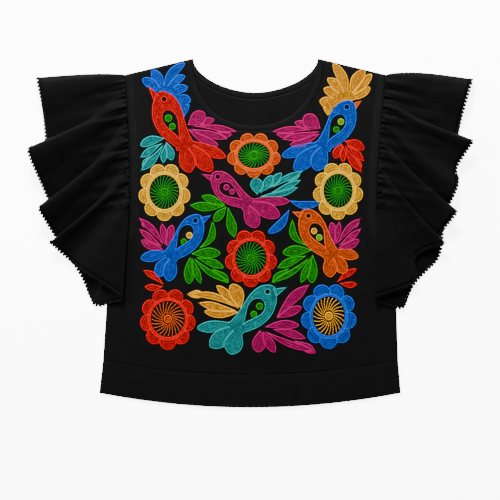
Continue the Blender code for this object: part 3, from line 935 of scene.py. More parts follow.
def stitch_mesh():
    """One stitch of unit size: a low spindle with a ridge along its top."""
    rings = [(-0.5, 0.02), (-0.26, 0.45), (0.26, 0.45), (0.5, 0.02)]
    points, faces = [], []
    for x, half in rings:
        points += [(x, half, 0.0), (x, 0.0, half * 1.6), (x, -half, 0.0)]
    for r in range(3):
        low, high = 3 * r, 3 * r + 3
        for s, after in ((0, 1), (1, 2), (2, 0)):
            faces.append((low + s, low + after, high + after, high + s))
    mesh = bpy.data.meshes.new("stitch")
    mesh.from_pydata(points, [], faces)
    mesh.validate()
    return mesh


STITCH = unit_object("stitch_unit", stitch_mesh())
scene_graph = bpy.context.evaluated_depsgraph_get()
sewn = (front, hem_band_front, neck_binding_front, back, neck_binding_back)
faces_up = {piece.name: BVHTree.FromObject(piece, scene_graph) for piece in sewn}


def top_of(piece, x, y):
    """Where a piece's upper face lies under a place, and the way that it faces."""
    hit = faces_up[piece].ray_cast(Vector((x, y, PROBE_HEIGHT)), Vector((0, 0, -1)))
    return hit[0], hit[1]


def sewing_spots(piece, path):
    """Stitches one after the other along a path, laid on a piece's upper face."""
    spots = []
    walked, due = 0.0, 0.0
    for a, b in zip(path, path[1:]):
        span = (b - a).length
        while span > 0 and due <= walked + span:
            place = a.lerp(b, (due - walked) / span)
            spot, normal = top_of(piece.name, place.x, place.y)
            if spot is not None:
                spots.append((spot, b - a, normal, (1.0, 1.0, 1.0), SEWING_SHADE))
            due += STITCH_PITCH
        walked += span
    return spots


def row_path(at, count=200):
    return [at(i / count) for i in range(count + 1)]


def armhole_path(side, y):
    return lay(side * (side_half(y) - ARMHOLE_TOPSTITCH), y, 0)


def band_path(side_y, t):
    across = mix(-BAND_STITCHED, BAND_STITCHED, t)
    return lay(across * side_half(side_y), hem_line(side_y, across), 0)


def neck_path(neck, offset, t):
    x = (NECK_HALF + offset) * math.sin(math.pi / 2 * mix(-NECK_STITCHED, NECK_STITCHED, t))
    return lay(x, neck_y(x, neck, offset), 0)


SEWING = thread(
    "sewing_thread", (0.0015, 0.0015, 0.0016, 1), (0.0050, 0.0050, 0.0055, 1), 0.5, 0.05
)
spots = []
for side in (-1, 1):
    spots += sewing_spots(front, row_path(lambda t: armhole_path(side, mix(*ARMHOLE_STITCHED, t))))
for piece, neck in ((neck_binding_front, FRONT_NECK), (neck_binding_back, BACK_NECK)):
    for offset in (NECK_STITCH_INSETS[0], neck["binding"] - NECK_STITCH_INSETS[1]):
        spots += sewing_spots(piece, row_path(lambda t: neck_path(neck, offset, t)))
for side_y in (BAND_SEAM_Y - BAND_STITCH_DROP, HEM_Y + HEM_STITCH_RISE):
    spots += sewing_spots(hem_band_front, row_path(lambda t: band_path(side_y, t)))
STITCH_SIZES = (STITCH_LENGTH, SEWING_WIDTH, SEWING_WIDTH)
sewing = join("topstitching", set_units("topstitching", spots, STITCH, STITCH_SIZES, SEWING))
dress(sewing, SEWING, "cotton")

# Embroidered birds.  Each is drawn once, from an eye and a waist, and filled in rows of stranded
# thread that follow its outline, with a raised cord of closer stitches round every edge.
# Motifs are placed on a chart of 1.56 mm squares, counted right and down.
SQUARE = 0.00156
CHART_X, CHART_Y = 251.0, 234.0
CORD = {"inset": 0.0010, "pitch": 0.0022, "size": (0.0034, 0.0018, 0.0010), "lift": 0.0003}
FILL = {"inset": 0.0030, "row": 0.0018, "pitch": 0.0032, "size": (0.0042, 0.0018, 0.0008), "lift": 0.0002}
# Where each stitch lies between painted shade and the thread's full colour: the cord and every other fill row
# near full colour, the rows between them in painted shade
PAINTED_ROW_SHADES = {"cord": (0.70, 0.95), "even": (0.00, 0.22), "odd": (0.52, 0.95)}
PATCHES = {"scale": 190.0, "depth": 0.75}
PAD_HEIGHT = 0.00045
PAD_SLOPE = 0.0007
PAD_GRID = 0.0019
PAD_ROW = 0.87
PAD_CLEAR = {"shoulder": 0.9, "grid": 1.7}
PAD_ROUND = 0.8
PAD_WALL = 0.00015
# The pad shows in the gaps between stitches and between lobes, and is painted nearly in the thread's dark
# colour: painted shade in those gaps
PAD_PAINTED_SHADE = 0.05
OUTLINE_STEP = 0.0006
ROW_CLEAR = 0.93
STITCH_SWAY = {"cord": 0.04, "fill": 0.14}
STITCH_LONGER = (0.9, 1.15)
STITCH_HIGHER = (0.85, 1.15)
BARS = {"longer": 1.15, "height": 0.5, "shade": (0.8, 1.1)}
DISC_POINTS = 28
chance = np.random.default_rng(7)


def on_chart(points):
    """Chart squares as metres on the cloth."""
    points = np.asarray(points, float)
    return np.stack([(points[:, 0] - CHART_X) * SQUARE, (CHART_Y - points[:, 1]) * SQUARE], 1)


def smooth_loop(points, per=10):
    """A closed curve through points."""
    points = np.asarray(points, float)
    before, after, later = np.roll(points, 1, 0), np.roll(points, -1, 0), np.roll(points, -2, 0)
    out = []
    for i in range(len(points)):
        for t in np.arange(per) / per:
            out.append(
                0.5 * (2 * points[i] + (after[i] - before[i]) * t
                       + (2 * before[i] - 5 * points[i] + 4 * after[i] - later[i]) * t**2
                       + (3 * points[i] - before[i] - 3 * after[i] + later[i]) * t**3)
            )
    return np.array(out)


def petal(base, tip, width, bend=0.0, point=0.6, peak=1.4, blunt=0.7):
    """A petal or leaf lobe on a bent middle line, widest past its middle.  Blunt and point say how
    full it is at its base and its tip: under one is round, over one is pointed."""
    base, tip = np.array(base, float), np.array(tip, float)
    axis = tip - base
    across = np.array((-axis[1], axis[0])) / np.hypot(*axis)
    t = (1 - np.cos(np.linspace(0, math.pi, 25))) / 2
    half = width * np.sin(math.pi * t**peak).clip(0) ** mix(blunt, point, t)
    middle = base + t[:, None] * axis + (bend * np.sin(math.pi * t))[:, None] * across
    return np.concatenate([middle + half[:, None] * across, (middle - half[:, None] * across)[-2:0:-1]])


def disc(centre, rx, ry=None):
    """A round or oval loop."""
    turn = np.linspace(0, 2 * math.pi, DISC_POINTS, endpoint=False)
    return np.stack([centre[0] + rx * np.cos(turn), centre[1] + (ry or rx) * np.sin(turn)], 1)


def even_loop(loop):
    """A loop in even steps, anticlockwise on the cloth."""
    area = np.sum(loop[:, 0] * np.roll(loop[:, 1], -1) - np.roll(loop[:, 0], -1) * loop[:, 1])
    if area < 0:
        loop = loop[::-1]
    ring = np.concatenate([loop, loop[:1]])
    walked = np.concatenate([[0], np.cumsum(np.hypot(*np.diff(ring, axis=0).T))])
    count = max(12, int(walked[-1] / OUTLINE_STEP))
    at = np.linspace(0, walked[-1], count, endpoint=False)
    return np.stack([np.interp(at, walked, ring[:, 0]), np.interp(at, walked, ring[:, 1])], 1)


def within(points, loop):
    """Which points lie inside a loop."""
    x, y = points[:, :1], points[:, 1:]
    x0, y0 = loop[:, 0], loop[:, 1]
    x1, y1 = np.roll(x0, -1), np.roll(y0, -1)
    rise = np.where(np.abs(y1 - y0) < 1e-12, 1e-12, y1 - y0)
    return (((y0 > y) != (y1 > y)) & (x < (x1 - x0) * (y - y0) / rise + x0)).sum(1) % 2 == 1


def in_any(points, loops):
    on = np.zeros(len(points), bool)
    for loop in loops:
        on |= within(points, loop)
    return on


def motif_edges(body, lobes, holes):
    """Where the motif's cord runs: points, the way along, and the way in from each.  Lobes open
    into the body without a cord, and each lobe lies against the lobes before it."""
    runs = []

    def run(loop, sign, shown):
        along = np.roll(loop, -1, 0) - np.roll(loop, 1, 0)
        along /= np.hypot(*along.T)[:, None]
        into = np.stack([-along[:, 1], along[:, 0]], 1) * sign
        if shown.any():
            runs.append((loop[shown], along[shown], into[shown]))

    for i, lobe in enumerate(lobes):
        free = ~in_any(lobe, body + holes + lobes[:i])
        run(lobe, 1.0, free)
        for k in range(i + 1, len(lobes)):
            run(lobe, -1.0, free & within(lobe, lobes[k]) & ~in_any(lobe, lobes[i + 1:k]))
    for loop in body:
        run(loop, 1.0, ~in_any(loop, lobes + holes))
    for hole in holes:
        run(hole, -1.0, in_any(hole, body + lobes))
    return runs


def motif_rows(runs, edge, on_motif):
    """Places for stitches in rows inside the motif: place, direction, and row, 0 for the cord."""
    places = []
    inset, cord, row = CORD["inset"], True, 0
    while True:
        found = 0
        for loop, along, into in runs:
            spots = loop + into * inset
            apart = np.sqrt(((spots[:, None] - edge[None]) ** 2).sum(2)).min(1)
            keep = (apart > inset * ROW_CLEAR) & on_motif(spots)
            last = None
            pitch = CORD["pitch"] if cord else FILL["pitch"]
            for spot, way, good in zip(spots, along, keep):
                if good and (last is None or np.hypot(*(spot - last)) >= pitch):
                    places.append((spot, way, row))
                    last = spot
                    found += 1
        if not found:
            return places
        inset = FILL["inset"] if cord else inset + FILL["row"]
        cord, row = False, row + 1


def pad_mesh(name, runs, edge, on_motif):
    """A low closed pad under a motif's stitches, rounded down to the cloth at its edge."""
    low, high = edge.min(0), edge.max(0)
    xs = np.arange(low[0], high[0], PAD_GRID)
    ys = np.arange(low[1], high[1], PAD_GRID * PAD_ROW)
    grid = np.array([(x + (PAD_GRID / 2 if k % 2 else 0), y) for k, y in enumerate(ys) for x in xs])
    shoulder = np.concatenate([(loop + into * PAD_SLOPE)[::2] for loop, _, into in runs])
    inner = np.concatenate([shoulder, grid])
    apart = np.sqrt(((inner[:, None] - edge[None]) ** 2).sum(2)).min(1)
    on_shoulder = np.arange(len(inner)) < len(shoulder)
    far = PAD_SLOPE * np.where(on_shoulder, PAD_CLEAR["shoulder"], PAD_CLEAR["grid"])
    clear = on_motif(inner) & (apart > far)
    inner, apart = inner[clear], apart[clear]
    rim = np.unique(np.round(edge[::2], 6), axis=0)
    flat = np.concatenate([rim, inner])
    lifts = [0.0] * len(rim) + [PAD_HEIGHT * min(1.0, PAD_ROUND * a / PAD_SLOPE) for a in apart]
    made = geometry.delaunay_2d_cdt([Vector(p) for p in flat], [], [], 0, 1e-9)
    source = [ids[0] for ids in made[3]]
    middles = np.array([np.mean([flat[source[k]] for k in face], axis=0) for face in made[2]])
    tops = [tuple(face) for face, good in zip(made[2], on_motif(middles)) if good]
    count = len(source)
    heights = []
    for k in source:
        spot, _ = top_of(front.name, *flat[k])
        heights.append(spot.z if spot is not None else FRONT_LEVEL + CLOTH / 2)
    points = [(*flat[k], z + lifts[k] + PAD_WALL) for k, z in zip(source, heights)]
    points += [(*flat[k], z - PAD_WALL) for k, z in zip(source, heights)]
    sides = {(a, b) for face in tops for a, b in zip(face, face[1:] + face[:1])}
    faces = tops + [tuple(count + k for k in reversed(face)) for face in tops]
    faces += [(b, a, count + a, count + b) for a, b in sides if (b, a) not in sides]
    mesh = bpy.data.meshes.new(name)
    mesh.from_pydata(points, [], faces)
    loose = bmesh.new()
    loose.from_mesh(mesh)
    bmesh.ops.delete(loose, geom=[v for v in loose.verts if not v.link_faces], context="VERTS")
    loose.to_mesh(mesh)
    loose.free()
    mesh.shade_smooth()
    # Painted shade: the pad is painted dark where it shows between the stitches and lobes
    shade = mesh.attributes.new("shade", "FLOAT", "POINT")
    shade.data.foreach_set("value", [PAD_PAINTED_SHADE] * len(mesh.vertices))
    return mesh


def embroider(name, motifs, material, bars=()):
    """One object of stitched motifs: each is (body, lobes, holes), all lists of loops in chart
    squares.  bars are single stitches: (start, end, width) in chart squares."""
    spots, pads, whole = [], [], FILL["size"]
    for motif in motifs:
        body, lobes, holes = [[even_loop(on_chart(loop)) for loop in loops] for loops in motif]
        runs = motif_edges(body, lobes, holes)
        edge = np.concatenate([loop for loop, _, _ in runs])

        def on_motif(points):
            return in_any(points, body + lobes) & ~in_any(points, holes)

        pads.append(pad_mesh(name + "_pad", runs, edge, on_motif))
        for place, way, row in motif_rows(runs, edge, on_motif):
            kind, sway = (FILL, STITCH_SWAY["fill"]) if row else (CORD, STITCH_SWAY["cord"])
            spot, normal = top_of(front.name, *place)
            if spot is None:
                continue
            length, width, height = kind["size"]
            sway = chance.normal(0, sway)
            along = Vector((way[0] - way[1] * sway, way[1] + way[0] * sway, 0))
            longer, higher = chance.uniform(*STITCH_LONGER), chance.uniform(*STITCH_HIGHER)
            size = (length * longer / whole[0], width / whole[1], height * higher / whole[2])
            # Every other fill row is painted dark: painted shade between the rows
            rows = "cord" if not row else "odd" if row % 2 == 0 else "even"
            shade = chance.uniform(*PAINTED_ROW_SHADES[rows])
            if row:
                shade += PATCHES["depth"] * noise.noise(spot * PATCHES["scale"])
            spots.append((spot + normal * kind["lift"], along, normal, size, shade))
    for start, end, width in bars:
        (x0, y0), (x1, y1) = on_chart([start, end])
        spot, normal = top_of(front.name, (x0 + x1) / 2, (y0 + y1) / 2)
        along = Vector((x1 - x0, y1 - y0, 0))
        wide = width * SQUARE
        length, height = along.length * BARS["longer"], wide * BARS["height"]
        size = (length / whole[0], wide / whole[1], height / whole[2])
        spots.append((spot, along, normal, size, chance.uniform(*BARS["shade"])))
    piece = join(name, set_units(name, spots, STITCH, whole, material), *pads)
    dress(piece, material, "embroidery")
    return piece


def shaded_thread(name, r, g, b):
    """Embroidery thread in a colour, with a darker copy of it that is painted shade between the strands and
    the rows.
    """
    return thread(name, (r * 0.17, g * 0.13, b * 0.17, 1.0), (r, g, b, 1.0), 0.55, 0.02)


RED = shaded_thread("thread_red", 0.36, 0.0002, 0.0006)
BLUE = shaded_thread("thread_blue", 0.0002, 0.052, 0.32)
MAGENTA = shaded_thread("thread_magenta", 0.235, 0.0001, 0.062)
GREEN = shaded_thread("thread_green", 0.0004, 0.160, 0.0006)
TEAL = shaded_thread("thread_teal", 0.0001, 0.180, 0.158)
YELLOW = shaded_thread("thread_yellow", 0.50, 0.265, 0.0001)
GOLD = shaded_thread("thread_gold", 0.48, 0.212, 0.0001)
ORANGE = shaded_thread("thread_orange", 0.40, 0.050, 0.0003)
LIME = shaded_thread("thread_lime", 0.10, 0.28, 0.004)

# The bird's body at stations from head to waist, as shares of the way from eye to waist:
# how far along, how far out on the back's side, and how far out on the breast's side
BIRD_STATIONS = (
    (-0.165, 0.035, 0.105), (-0.05, 0.165, 0.225), (0.10, 0.232, 0.325), (0.30, 0.250, 0.392),
    (0.50, 0.226, 0.395), (0.70, 0.196, 0.350), (0.86, 0.186, 0.275), (1.00, 0.190, 0.195),
    (1.10, 0.200, 0.170),
)
BEAK_ROOTS = ((-0.150, 0.070), (-0.065, 0.215))
BEAK_DEPTH = 0.24
BEAK_BULGE = 0.10
EYE_SIZE = 2.2
WING = {"peak": 1.9, "blunt": 0.75, "point": 0.52}
TAIL_ROOT = (0.90, 0.0)
TAIL = {"peak": 1.7, "blunt": 0.75}
BIRDS = (
    {"name": "red", "thread": RED, "breast": -1,
     "beak": (147.8, 86), "eye": (164.2, 99.5), "waist": (184, 143.5),
     "tail": ((190, 173, 8.3), (212.5, 171.5, 8.3), (226, 157.5, 6.0)),
     "wing": ((180, 139), (165.8, 111), 6.8),
     "dots": ((168.6, 118.6, 3.8, GREEN), (172.5, 126.8, 3.5, GREEN))},
    {"name": "blue_upper", "thread": BLUE, "breast": 1, "beak_thread": ORANGE,
     "beak": (362.3, 100.4), "eye": (346.7, 107.4), "waist": (324.6, 144.5),
     "tail": ((315.5, 171, 8.6), (294, 170.5, 8.4), (281.5, 156.6, 6.0)),
     "wing": ((328, 141), (342.5, 115.5), 7.0),
     "dots": ((340.9, 122, 3.4, LIME), (336.2, 129.8, 3.3, GREEN))},
    {"name": "magenta", "thread": MAGENTA, "breast": -1,
     "beak": (200.3, 174), "eye": (218, 177), "waist": (246, 203),
     "tail": ((257, 228, 8.0), (280, 216.5, 7.6), (289.8, 201.5, 5.0)),
     "wing": ((241.5, 199.5), (220.3, 184.5), 6.2),
     "dots": ((226.6, 187.6, 3.2, MAGENTA), (232.2, 192, 2.9, MAGENTA))},
    {"name": "blue_lower", "thread": BLUE, "breast": 1,
     "beak": (212, 214.8), "eye": (195.5, 220.8), "waist": (171.5, 255),
     "tail": ((168.6, 281.5, 7.0), (156.5, 276.5, 7.2), (140.8, 258.6, 5.8)),
     "wing": ((176, 250), (190.8, 226), 7.0),
     "dots": ((189.5, 235.5, 3.3, YELLOW), (183.9, 241.8, 3.2, GREEN))},
    {"name": "orange", "thread": ORANGE, "breast": -1,
     "beak": (291.8, 211.8), "eye": (308.3, 216), "waist": (330.5, 253.5),
     "tail": ((330.6, 277.5, 7.0), (346, 273.2, 7.0), (358.6, 257, 5.6)),
     "wing": ((325.3, 248), (312.2, 224), 6.8),
     "dots": ((314, 231.2, 3.2, YELLOW), (319.2, 237.6, 3.3, LIME))},
    {"name": "teal", "thread": TEAL, "breast": 1,
     "beak": (288, 286.8), "eye": (267.6, 291.8), "waist": (237, 327),
     "tail": ((230.5, 354.5, 9.4), (210, 347, 8.6), (197, 328.2, 6.0)),
     "wing": ((243.5, 323.6), (262.3, 300), 7.8),
     "dots": ((259.6, 306.2, 3.7, GREEN), (253.9, 314.2, 3.5, GREEN))},
)

bird_outlines = {}
for bird in BIRDS:
    eye, waist = np.array(bird["eye"]), np.array(bird["waist"])
    reach = np.hypot(*(waist - eye))
    down = (waist - eye) / reach
    breast = np.array((down[1], -down[0])) * bird["breast"]

    def at(along, out):
        return eye + reach * (along * down + out * breast)

    back_side = [at(s, -b) for s, b, _ in BIRD_STATIONS]
    breast_side = [at(s, f) for s, _, f in BIRD_STATIONS]
    body = smooth_loop(back_side + breast_side[::-1])
    upper, lower = (at(*root) for root in BEAK_ROOTS)
    deep = (eye - (upper + lower) / 2) * BEAK_DEPTH
    above, below = (mix(root, bird["beak"], 0.5) + deep * BEAK_BULGE for root in (upper, lower))
    beak = np.array([upper, above, bird["beak"], below, lower, lower + deep, upper + deep])
    tail = [petal(at(*TAIL_ROOT), (x, y), width, **TAIL) for x, y, width in bird["tail"]]
    start, end, width = bird["wing"]
    holes = [disc(bird["eye"], EYE_SIZE), petal(start, end, width, **WING)]
    bird_outlines[bird["name"]] = [body, beak]
    if "beak_thread" in bird:
        embroider("beak_" + bird["name"], [([], [beak], [body])], bird["beak_thread"])
        embroider("bird_" + bird["name"], [([body], tail, holes)], bird["thread"])
    else:
        embroider("bird_" + bird["name"], [([body, beak], tail, holes)], bird["thread"])
    for k, (x, y, size, colour) in enumerate(bird["dots"]):
        embroider("wing_dot_%s_%d" % (bird["name"], k), [([disc((x, y), size)], [], [])], colour)

# Lobes of the crests and sprigs: base (x, y), tip (x, y), half width, how far the middle line
# bends to the right of the way out, and whether the tip is round or pointed
ROUND, POINTED = 0.55, 1.25

# Crests.  The two upper birds have a fan of feathers behind the head.
CRESTS = (
    ("crest_blue", BLUE, "red", (
        (157.5, 90.8), (163, 86.2), (171, 87), (178, 92.5), (184, 101), (186.8, 108), (184.4, 117),
        (180, 106), (174, 97), (166, 92)), (
        (162, 93, 142.5, 78.5, 5.2, 0.5, ROUND), (163.5, 91, 152.5, 70, 5.6, 0.8, ROUND),
        (163.5, 92, 185, 63, 4.8, -4.0, ROUND), (165, 93, 185.2, 75.8, 4.8, -2.6, ROUND),
        (168, 96, 188, 87, 4.8, -1.4, ROUND), (173, 100, 191.2, 100.5, 5.4, -0.6, ROUND),
        (184.4, 117, 184, 99, 5.6, 0.0, ROUND),
    )),
    ("crest_gold", GOLD, "blue_upper", (
        (356, 98), (350, 91.5), (341, 93), (332, 99), (326, 107), (327.9, 116.5), (334, 107), (342, 102),
        (350, 102)), (
        (347.5, 98, 333.5, 63.5, 5.4, 2.6, ROUND), (346, 99, 327.5, 78.5, 5.2, 2.4, ROUND),
        (343.5, 101, 323.8, 88.5, 5.2, 1.2, ROUND), (338, 106, 319.5, 101, 5.6, 0.6, ROUND),
        (328, 116.5, 328, 99, 5.4, 0.0, ROUND), (350, 96, 364.5, 69.5, 5.6, -2.2, ROUND),
        (350.5, 96, 371.8, 74.5, 4.8, 0.0, ROUND), (348, 101, 370, 87.5, 5.6, -0.4, ROUND),
    )),
)
for name, colour, bird, root, feathers in CRESTS:
    lobes = [petal((x0, y0), (x1, y1), width, bend, point) for x0, y0, x1, y1, width, bend, point in feathers]
    embroider(name, [([smooth_loop(root)], lobes, bird_outlines[bird])], colour)

# Flowers.  A ring of nine scalloped petals round bare cloth, crossed by curved single threads
# that run out from a round button in the middle.
FLOWERS = (
    ("yellow_left", YELLOW, GREEN, (164.6, 192.2), (26.2, 29), (15, 17.2)),
    ("orange", ORANGE, GREEN, (254, 155.5), (27, 22.8), (16, 13)),
    ("yellow_right", YELLOW, GREEN, (338, 191), (25.2, 29), (14.5, 17)),
    ("red", RED, GREEN, (251, 258.3), (26.2, 29), (15.6, 17)),
    ("red_lower", RED, ORANGE, (168, 319), (28, 31), (17, 18)),
    ("blue", BLUE, GOLD, (328.7, 316), (28, 33), (16, 19.7)),
)
PETALS = 9
RING_WIDTH = 2.6
PETAL_DEPTH = 0.62
PETAL_SPREAD = 1.02
SPOKES = 24
SPOKE_SWIRL = 0.55
SPOKE_WIDTH = 0.66
SPOKE_SHARES = (0.30, 0.96, 6)
BUTTON = (4.2, 4.4)
for name, petals, spokes, centre, outer, inner in FLOWERS:
    deep = [(outer[k] - inner[k]) * PETAL_DEPTH for k in (0, 1)]
    round_it = (outer[0] + outer[1] + inner[0] + inner[1]) / 4 * math.pi / PETALS * PETAL_SPREAD
    scallops = []
    for k in range(PETALS):
        angle = 2 * math.pi * (0.25 + k / PETALS)
        out = np.array((math.cos(angle), math.sin(angle)))
        side = np.array((-out[1], out[0]))
        middle = np.array(centre) + out * [outer[0] - deep[0], outer[1] - deep[1]]
        depth = math.hypot(deep[0] * out[0], deep[1] * out[1])
        turn = np.linspace(0, 2 * math.pi, DISC_POINTS, endpoint=False)[:, None]
        scallops.append(middle + out * depth * np.cos(turn) + side * round_it * np.sin(turn))
    ring = disc(centre, inner[0] + RING_WIDTH, inner[1] + RING_WIDTH)
    hole = disc(centre, *inner)
    embroider("flower_" + name, [([], [ring] + scallops, [hole])], petals)
    bars = []
    for k in range(SPOKES):
        path = []
        for share in np.linspace(*SPOKE_SHARES):
            angle = 2 * math.pi * k / SPOKES + SPOKE_SWIRL * share
            way = (math.cos(angle), math.sin(angle))
            path.append([c + reach * share * w for c, reach, w in zip(centre, inner, way)])
        bars += [(a, b, SPOKE_WIDTH) for a, b in zip(path, path[1:])]
    embroider("flower_heart_" + name, [([disc(centre, *BUTTON)], [], [])], spokes, bars)

# Leaf sprigs and single leaves.  Each sprig is a fan of lobes that meet at its foot, and most
# have one more lobe beside the longest.
SPRIGS = (
    (MAGENTA, (
        (188, 125.3, 205, 113, 7.2, 0.0, ROUND), (189.5, 125.6, 215, 120, 4.0, -0.8, ROUND),
        (190, 126.2, 239, 132.4, 3.2, -1.6, POINTED), (189.5, 129, 228.5, 139.6, 3.8, 0.0, POINTED),
        (187.5, 129, 218.8, 146, 4.0, 1.6, ROUND), (210, 134, 233, 134.8, 4.2, 0.0, POINTED))),
    (MAGENTA, (
        (320.5, 128.8, 303.8, 116, 7.4, 0.0, ROUND), (318.5, 129, 294.6, 122.8, 4.2, 0.8, ROUND),
        (319, 129.8, 270, 132.4, 3.2, 1.8, POINTED), (320.5, 131.5, 281.5, 139.8, 3.9, -0.4, POINTED),
        (320.5, 133.5, 290, 145.4, 4.2, -1.6, ROUND), (298, 134, 276, 134.8, 4.2, 0.0, POINTED))),
    (TEAL, (
        (165, 138.6, 140.4, 145.6, 5.0, 1.6, ROUND), (163, 143.2, 139.6, 158.6, 3.6, 0.6, POINTED),
        (164, 144, 140, 172, 4.0, -2.0, POINTED), (165.6, 144, 163.4, 164.5, 3.4, 0.4, POINTED),
        (166, 142, 172.4, 160.4, 4.8, 0.0, ROUND), (153.5, 154, 142, 169, 4.0, 0.0, POINTED))),
    (RED, (
        (344, 141.4, 364.4, 149.6, 4.8, -1.6, ROUND), (345.6, 144, 364.6, 162, 3.6, -0.4, POINTED),
        (344.8, 145, 362.6, 173.2, 4.0, 2.0, POINTED), (343, 145, 342.6, 163.4, 3.4, -0.4, POINTED),
        (342.2, 143.4, 334.2, 158.4, 4.8, 0.0, ROUND), (352.5, 155.5, 361.4, 170.8, 4.0, 0.0, POINTED))),
    (TEAL, (
        (257.3, 195, 256, 178, 6.4, 0.0, ROUND), (260, 193.6, 272.4, 175.6, 4.4, 0.0, ROUND),
        (266, 190.5, 281.6, 173, 3.8, -0.4, ROUND), (265, 191.5, 304.4, 170.8, 3.2, -1.6, POINTED),
        (270, 193.4, 302, 179.8, 3.2, 0.4, POINTED), (259, 197, 299.2, 187.2, 4.0, 1.4, POINTED),
        (284, 182.6, 301, 174, 3.4, 0.0, POINTED))),
    (GREEN, (
        (225.5, 205.4, 201, 196, 4.2, 0.6, 1.0), (226.5, 206, 189, 205.2, 4.8, -1.4, POINTED),
        (226.5, 207, 214.2, 221.4, 4.6, 0.0, ROUND), (228, 206.8, 234.8, 239, 5.2, 0.4, POINTED))),
    (MAGENTA, (
        (164.8, 246.5, 138.4, 217.4, 3.5, 2.2, POINTED), (163.4, 247.6, 138.6, 228.4, 3.4, -0.6, POINTED),
        (164, 249.6, 141.4, 240.4, 4.2, -1.6, ROUND), (165.6, 246, 162, 222.6, 3.4, 0.0, POINTED),
        (166.4, 247, 172.6, 225, 4.4, 0.0, ROUND), (152.5, 232, 141, 219.6, 3.6, 0.0, POINTED))),
    (GREEN, (
        (191, 254.2, 220.6, 253.4, 5.4, -0.8, ROUND), (196, 257.6, 225, 268.2, 4.2, -0.6, 1.0),
        (193, 257.4, 227, 281.5, 3.0, 2.6, ROUND), (212, 268.6, 229.6, 283.2, 4.6, 0.0, POINTED),
        (191.6, 257.4, 201, 284.2, 3.6, 0.0, 0.8), (190, 257, 189.2, 284, 5.6, 0.0, ROUND))),
    (MAGENTA, (
        (336.6, 245.2, 361.6, 217.6, 3.5, -2.2, POINTED), (338, 246.4, 361.6, 228.2, 3.4, 0.6, POINTED),
        (337.6, 248.4, 359.2, 240, 4.4, 1.4, ROUND), (335.8, 245, 339.6, 220.8, 3.2, 0.0, POINTED),
        (335, 246, 331.6, 222.4, 4.4, 0.0, ROUND), (348, 231.4, 359.6, 219.6, 3.6, 0.0, POINTED))),
    (GREEN, (
        (312.2, 250.4, 282.6, 252.8, 5.6, 0.8, ROUND), (307, 255.6, 277, 268.2, 4.4, 0.6, 1.0),
        (310.5, 256.8, 274, 281.5, 3.0, -2.6, ROUND), (289, 268.2, 271.6, 283.2, 4.6, 0.0, POINTED),
        (311.2, 257.2, 301, 283.4, 3.8, 0.0, 0.8), (312.6, 254.4, 311.6, 283.2, 5.6, 0.0, ROUND))),
    (GOLD, (
        (241.2, 308.6, 231.8, 284, 7.0, 1.6, ROUND), (239.5, 309, 216.8, 285.6, 4.4, 0.8, ROUND),
        (238.6, 309, 192, 294.2, 3.6, 4.6, ROUND), (211, 298.4, 186.8, 294.6, 4.2, 2.0, POINTED),
        (237.6, 311, 197.6, 302.6, 4.2, -0.4, POINTED), (239.8, 312, 204.4, 311.6, 4.6, -1.8, ROUND))),
    (MAGENTA, (
        (276, 318, 310, 284, 5.4, -2.0, POINTED), (276.4, 318, 301.6, 307, 4.6, 0.0, ROUND))),
    (MAGENTA, (
        (264.4, 327, 299.2, 325.4, 4.6, -1.6, ROUND), (272, 329.2, 306.2, 338.6, 4.2, -0.8, 1.0),
        (263.4, 330.4, 312, 350.5, 3.4, 2.4, ROUND), (294, 340.4, 316.6, 353.4, 4.6, 0.0, POINTED),
        (262.4, 331, 275, 352.4, 4.8, 0.0, ROUND), (260.2, 330, 258.2, 352.4, 7.0, 0.0, ROUND))),
)
LEAVES = (
    (GREEN, (198, 249.2, 212.8, 221.4, 3.8, 6.4, 0.7)),
    (GREEN, (308.2, 246.6, 292.4, 218.8, 3.9, -7.0, 1.0)),
    (BLUE, (288.6, 200.4, 319, 203.4, 4.2, 3.4, 0.45)),
    (BLUE, (289.4, 209, 268.6, 233.4, 4.6, -3.4, 0.45)),
    (RED, (164.4, 285.4, 143, 270, 3.6, 1.4, POINTED)),
    (RED, (163.8, 286.4, 144, 286.8, 3.6, -1.0, POINTED)),
    (RED, (336.6, 282.6, 357.4, 268.4, 3.4, -1.2, POINTED)),
    (RED, (338.8, 283.4, 357.8, 284.2, 3.4, 1.0, POINTED)),
)
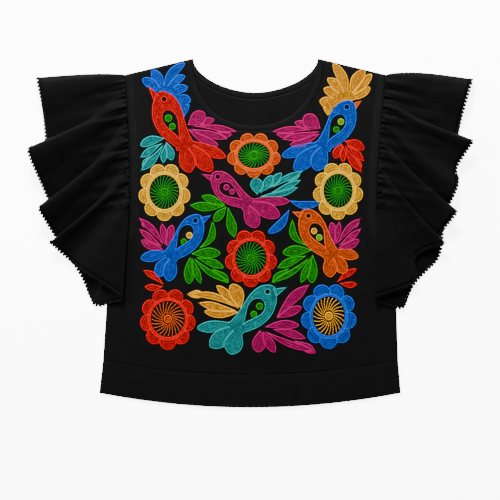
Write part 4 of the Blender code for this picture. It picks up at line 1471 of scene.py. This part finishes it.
for kind, groups in (("sprig", SPRIGS), ("leaf", [(colour, (lobe,)) for colour, lobe in LEAVES])):
    for k, (colour, lobes) in enumerate(groups):
        fans = [petal((x0, y0), (x1, y1), width, bend, point) for x0, y0, x1, y1, width, bend, point in lobes]
        embroider("%s_%02d" % (kind, k), [([], fans, [])], colour)
bpy.data.objects.remove(STITCH)

# The plain white surface that the blouse is laid out on.
TABLE_SIZE = 6.0
TABLE_DROP = 0.0004
bpy.ops.mesh.primitive_plane_add(size=TABLE_SIZE, location=(0, 0, -TABLE_DROP))
table = bpy.context.object
table.name = "table"
paper = bpy.data.materials.new("table_white")
paper.use_nodes = True
shader = paper.node_tree.nodes["Principled BSDF"]
shader.inputs["Base Color"].default_value = (0.92, 0.92, 0.92, 1.0)
shader.inputs["Roughness"].default_value = 0.9
shader.inputs["Emission Color"].default_value = (1, 1, 1, 1)
shader.inputs["Emission Strength"].default_value = 6.0
table.data.materials.append(paper)

# Camera straight above, and soft studio light that comes mostly from the neck's side.
FRAME_WIDTH = 0.780
CAMERA_HEIGHT = 2.6
CAMERA_PLACE = (-0.00156, -0.02496)
SENSOR = 36.0
lens = bpy.data.cameras.new("camera")
lens.sensor_width = SENSOR
lens.lens = SENSOR * CAMERA_HEIGHT / FRAME_WIDTH
camera = bpy.data.objects.new("camera", lens)
camera.location = (*CAMERA_PLACE, CAMERA_HEIGHT)
bpy.context.scene.collection.objects.link(camera)
bpy.context.scene.camera = camera

world = bpy.data.worlds.new("studio")
world.use_nodes = True
world.node_tree.nodes["Background"].inputs["Color"].default_value = (1, 1, 1, 1)
world.node_tree.nodes["Background"].inputs["Strength"].default_value = 1.1
bpy.context.scene.world = world
# Each lamp: its name, place, width, and power in watts
LAMPS = (("key", (-0.3, 2.1, 1.25), 0.7, 440.0), ("side", (-1.9, 0.5, 1.0), 0.7, 70.0))
for name, place, size, power in LAMPS:
    light = bpy.data.lights.new(name, "AREA")
    light.shape = "SQUARE"
    light.size = size
    light.energy = power
    lamp = bpy.data.objects.new(name, light)
    lamp.location = place
    lamp.rotation_euler = (-Vector(place)).to_track_quat("-Z", "Y").to_euler()
    bpy.context.scene.collection.objects.link(lamp)
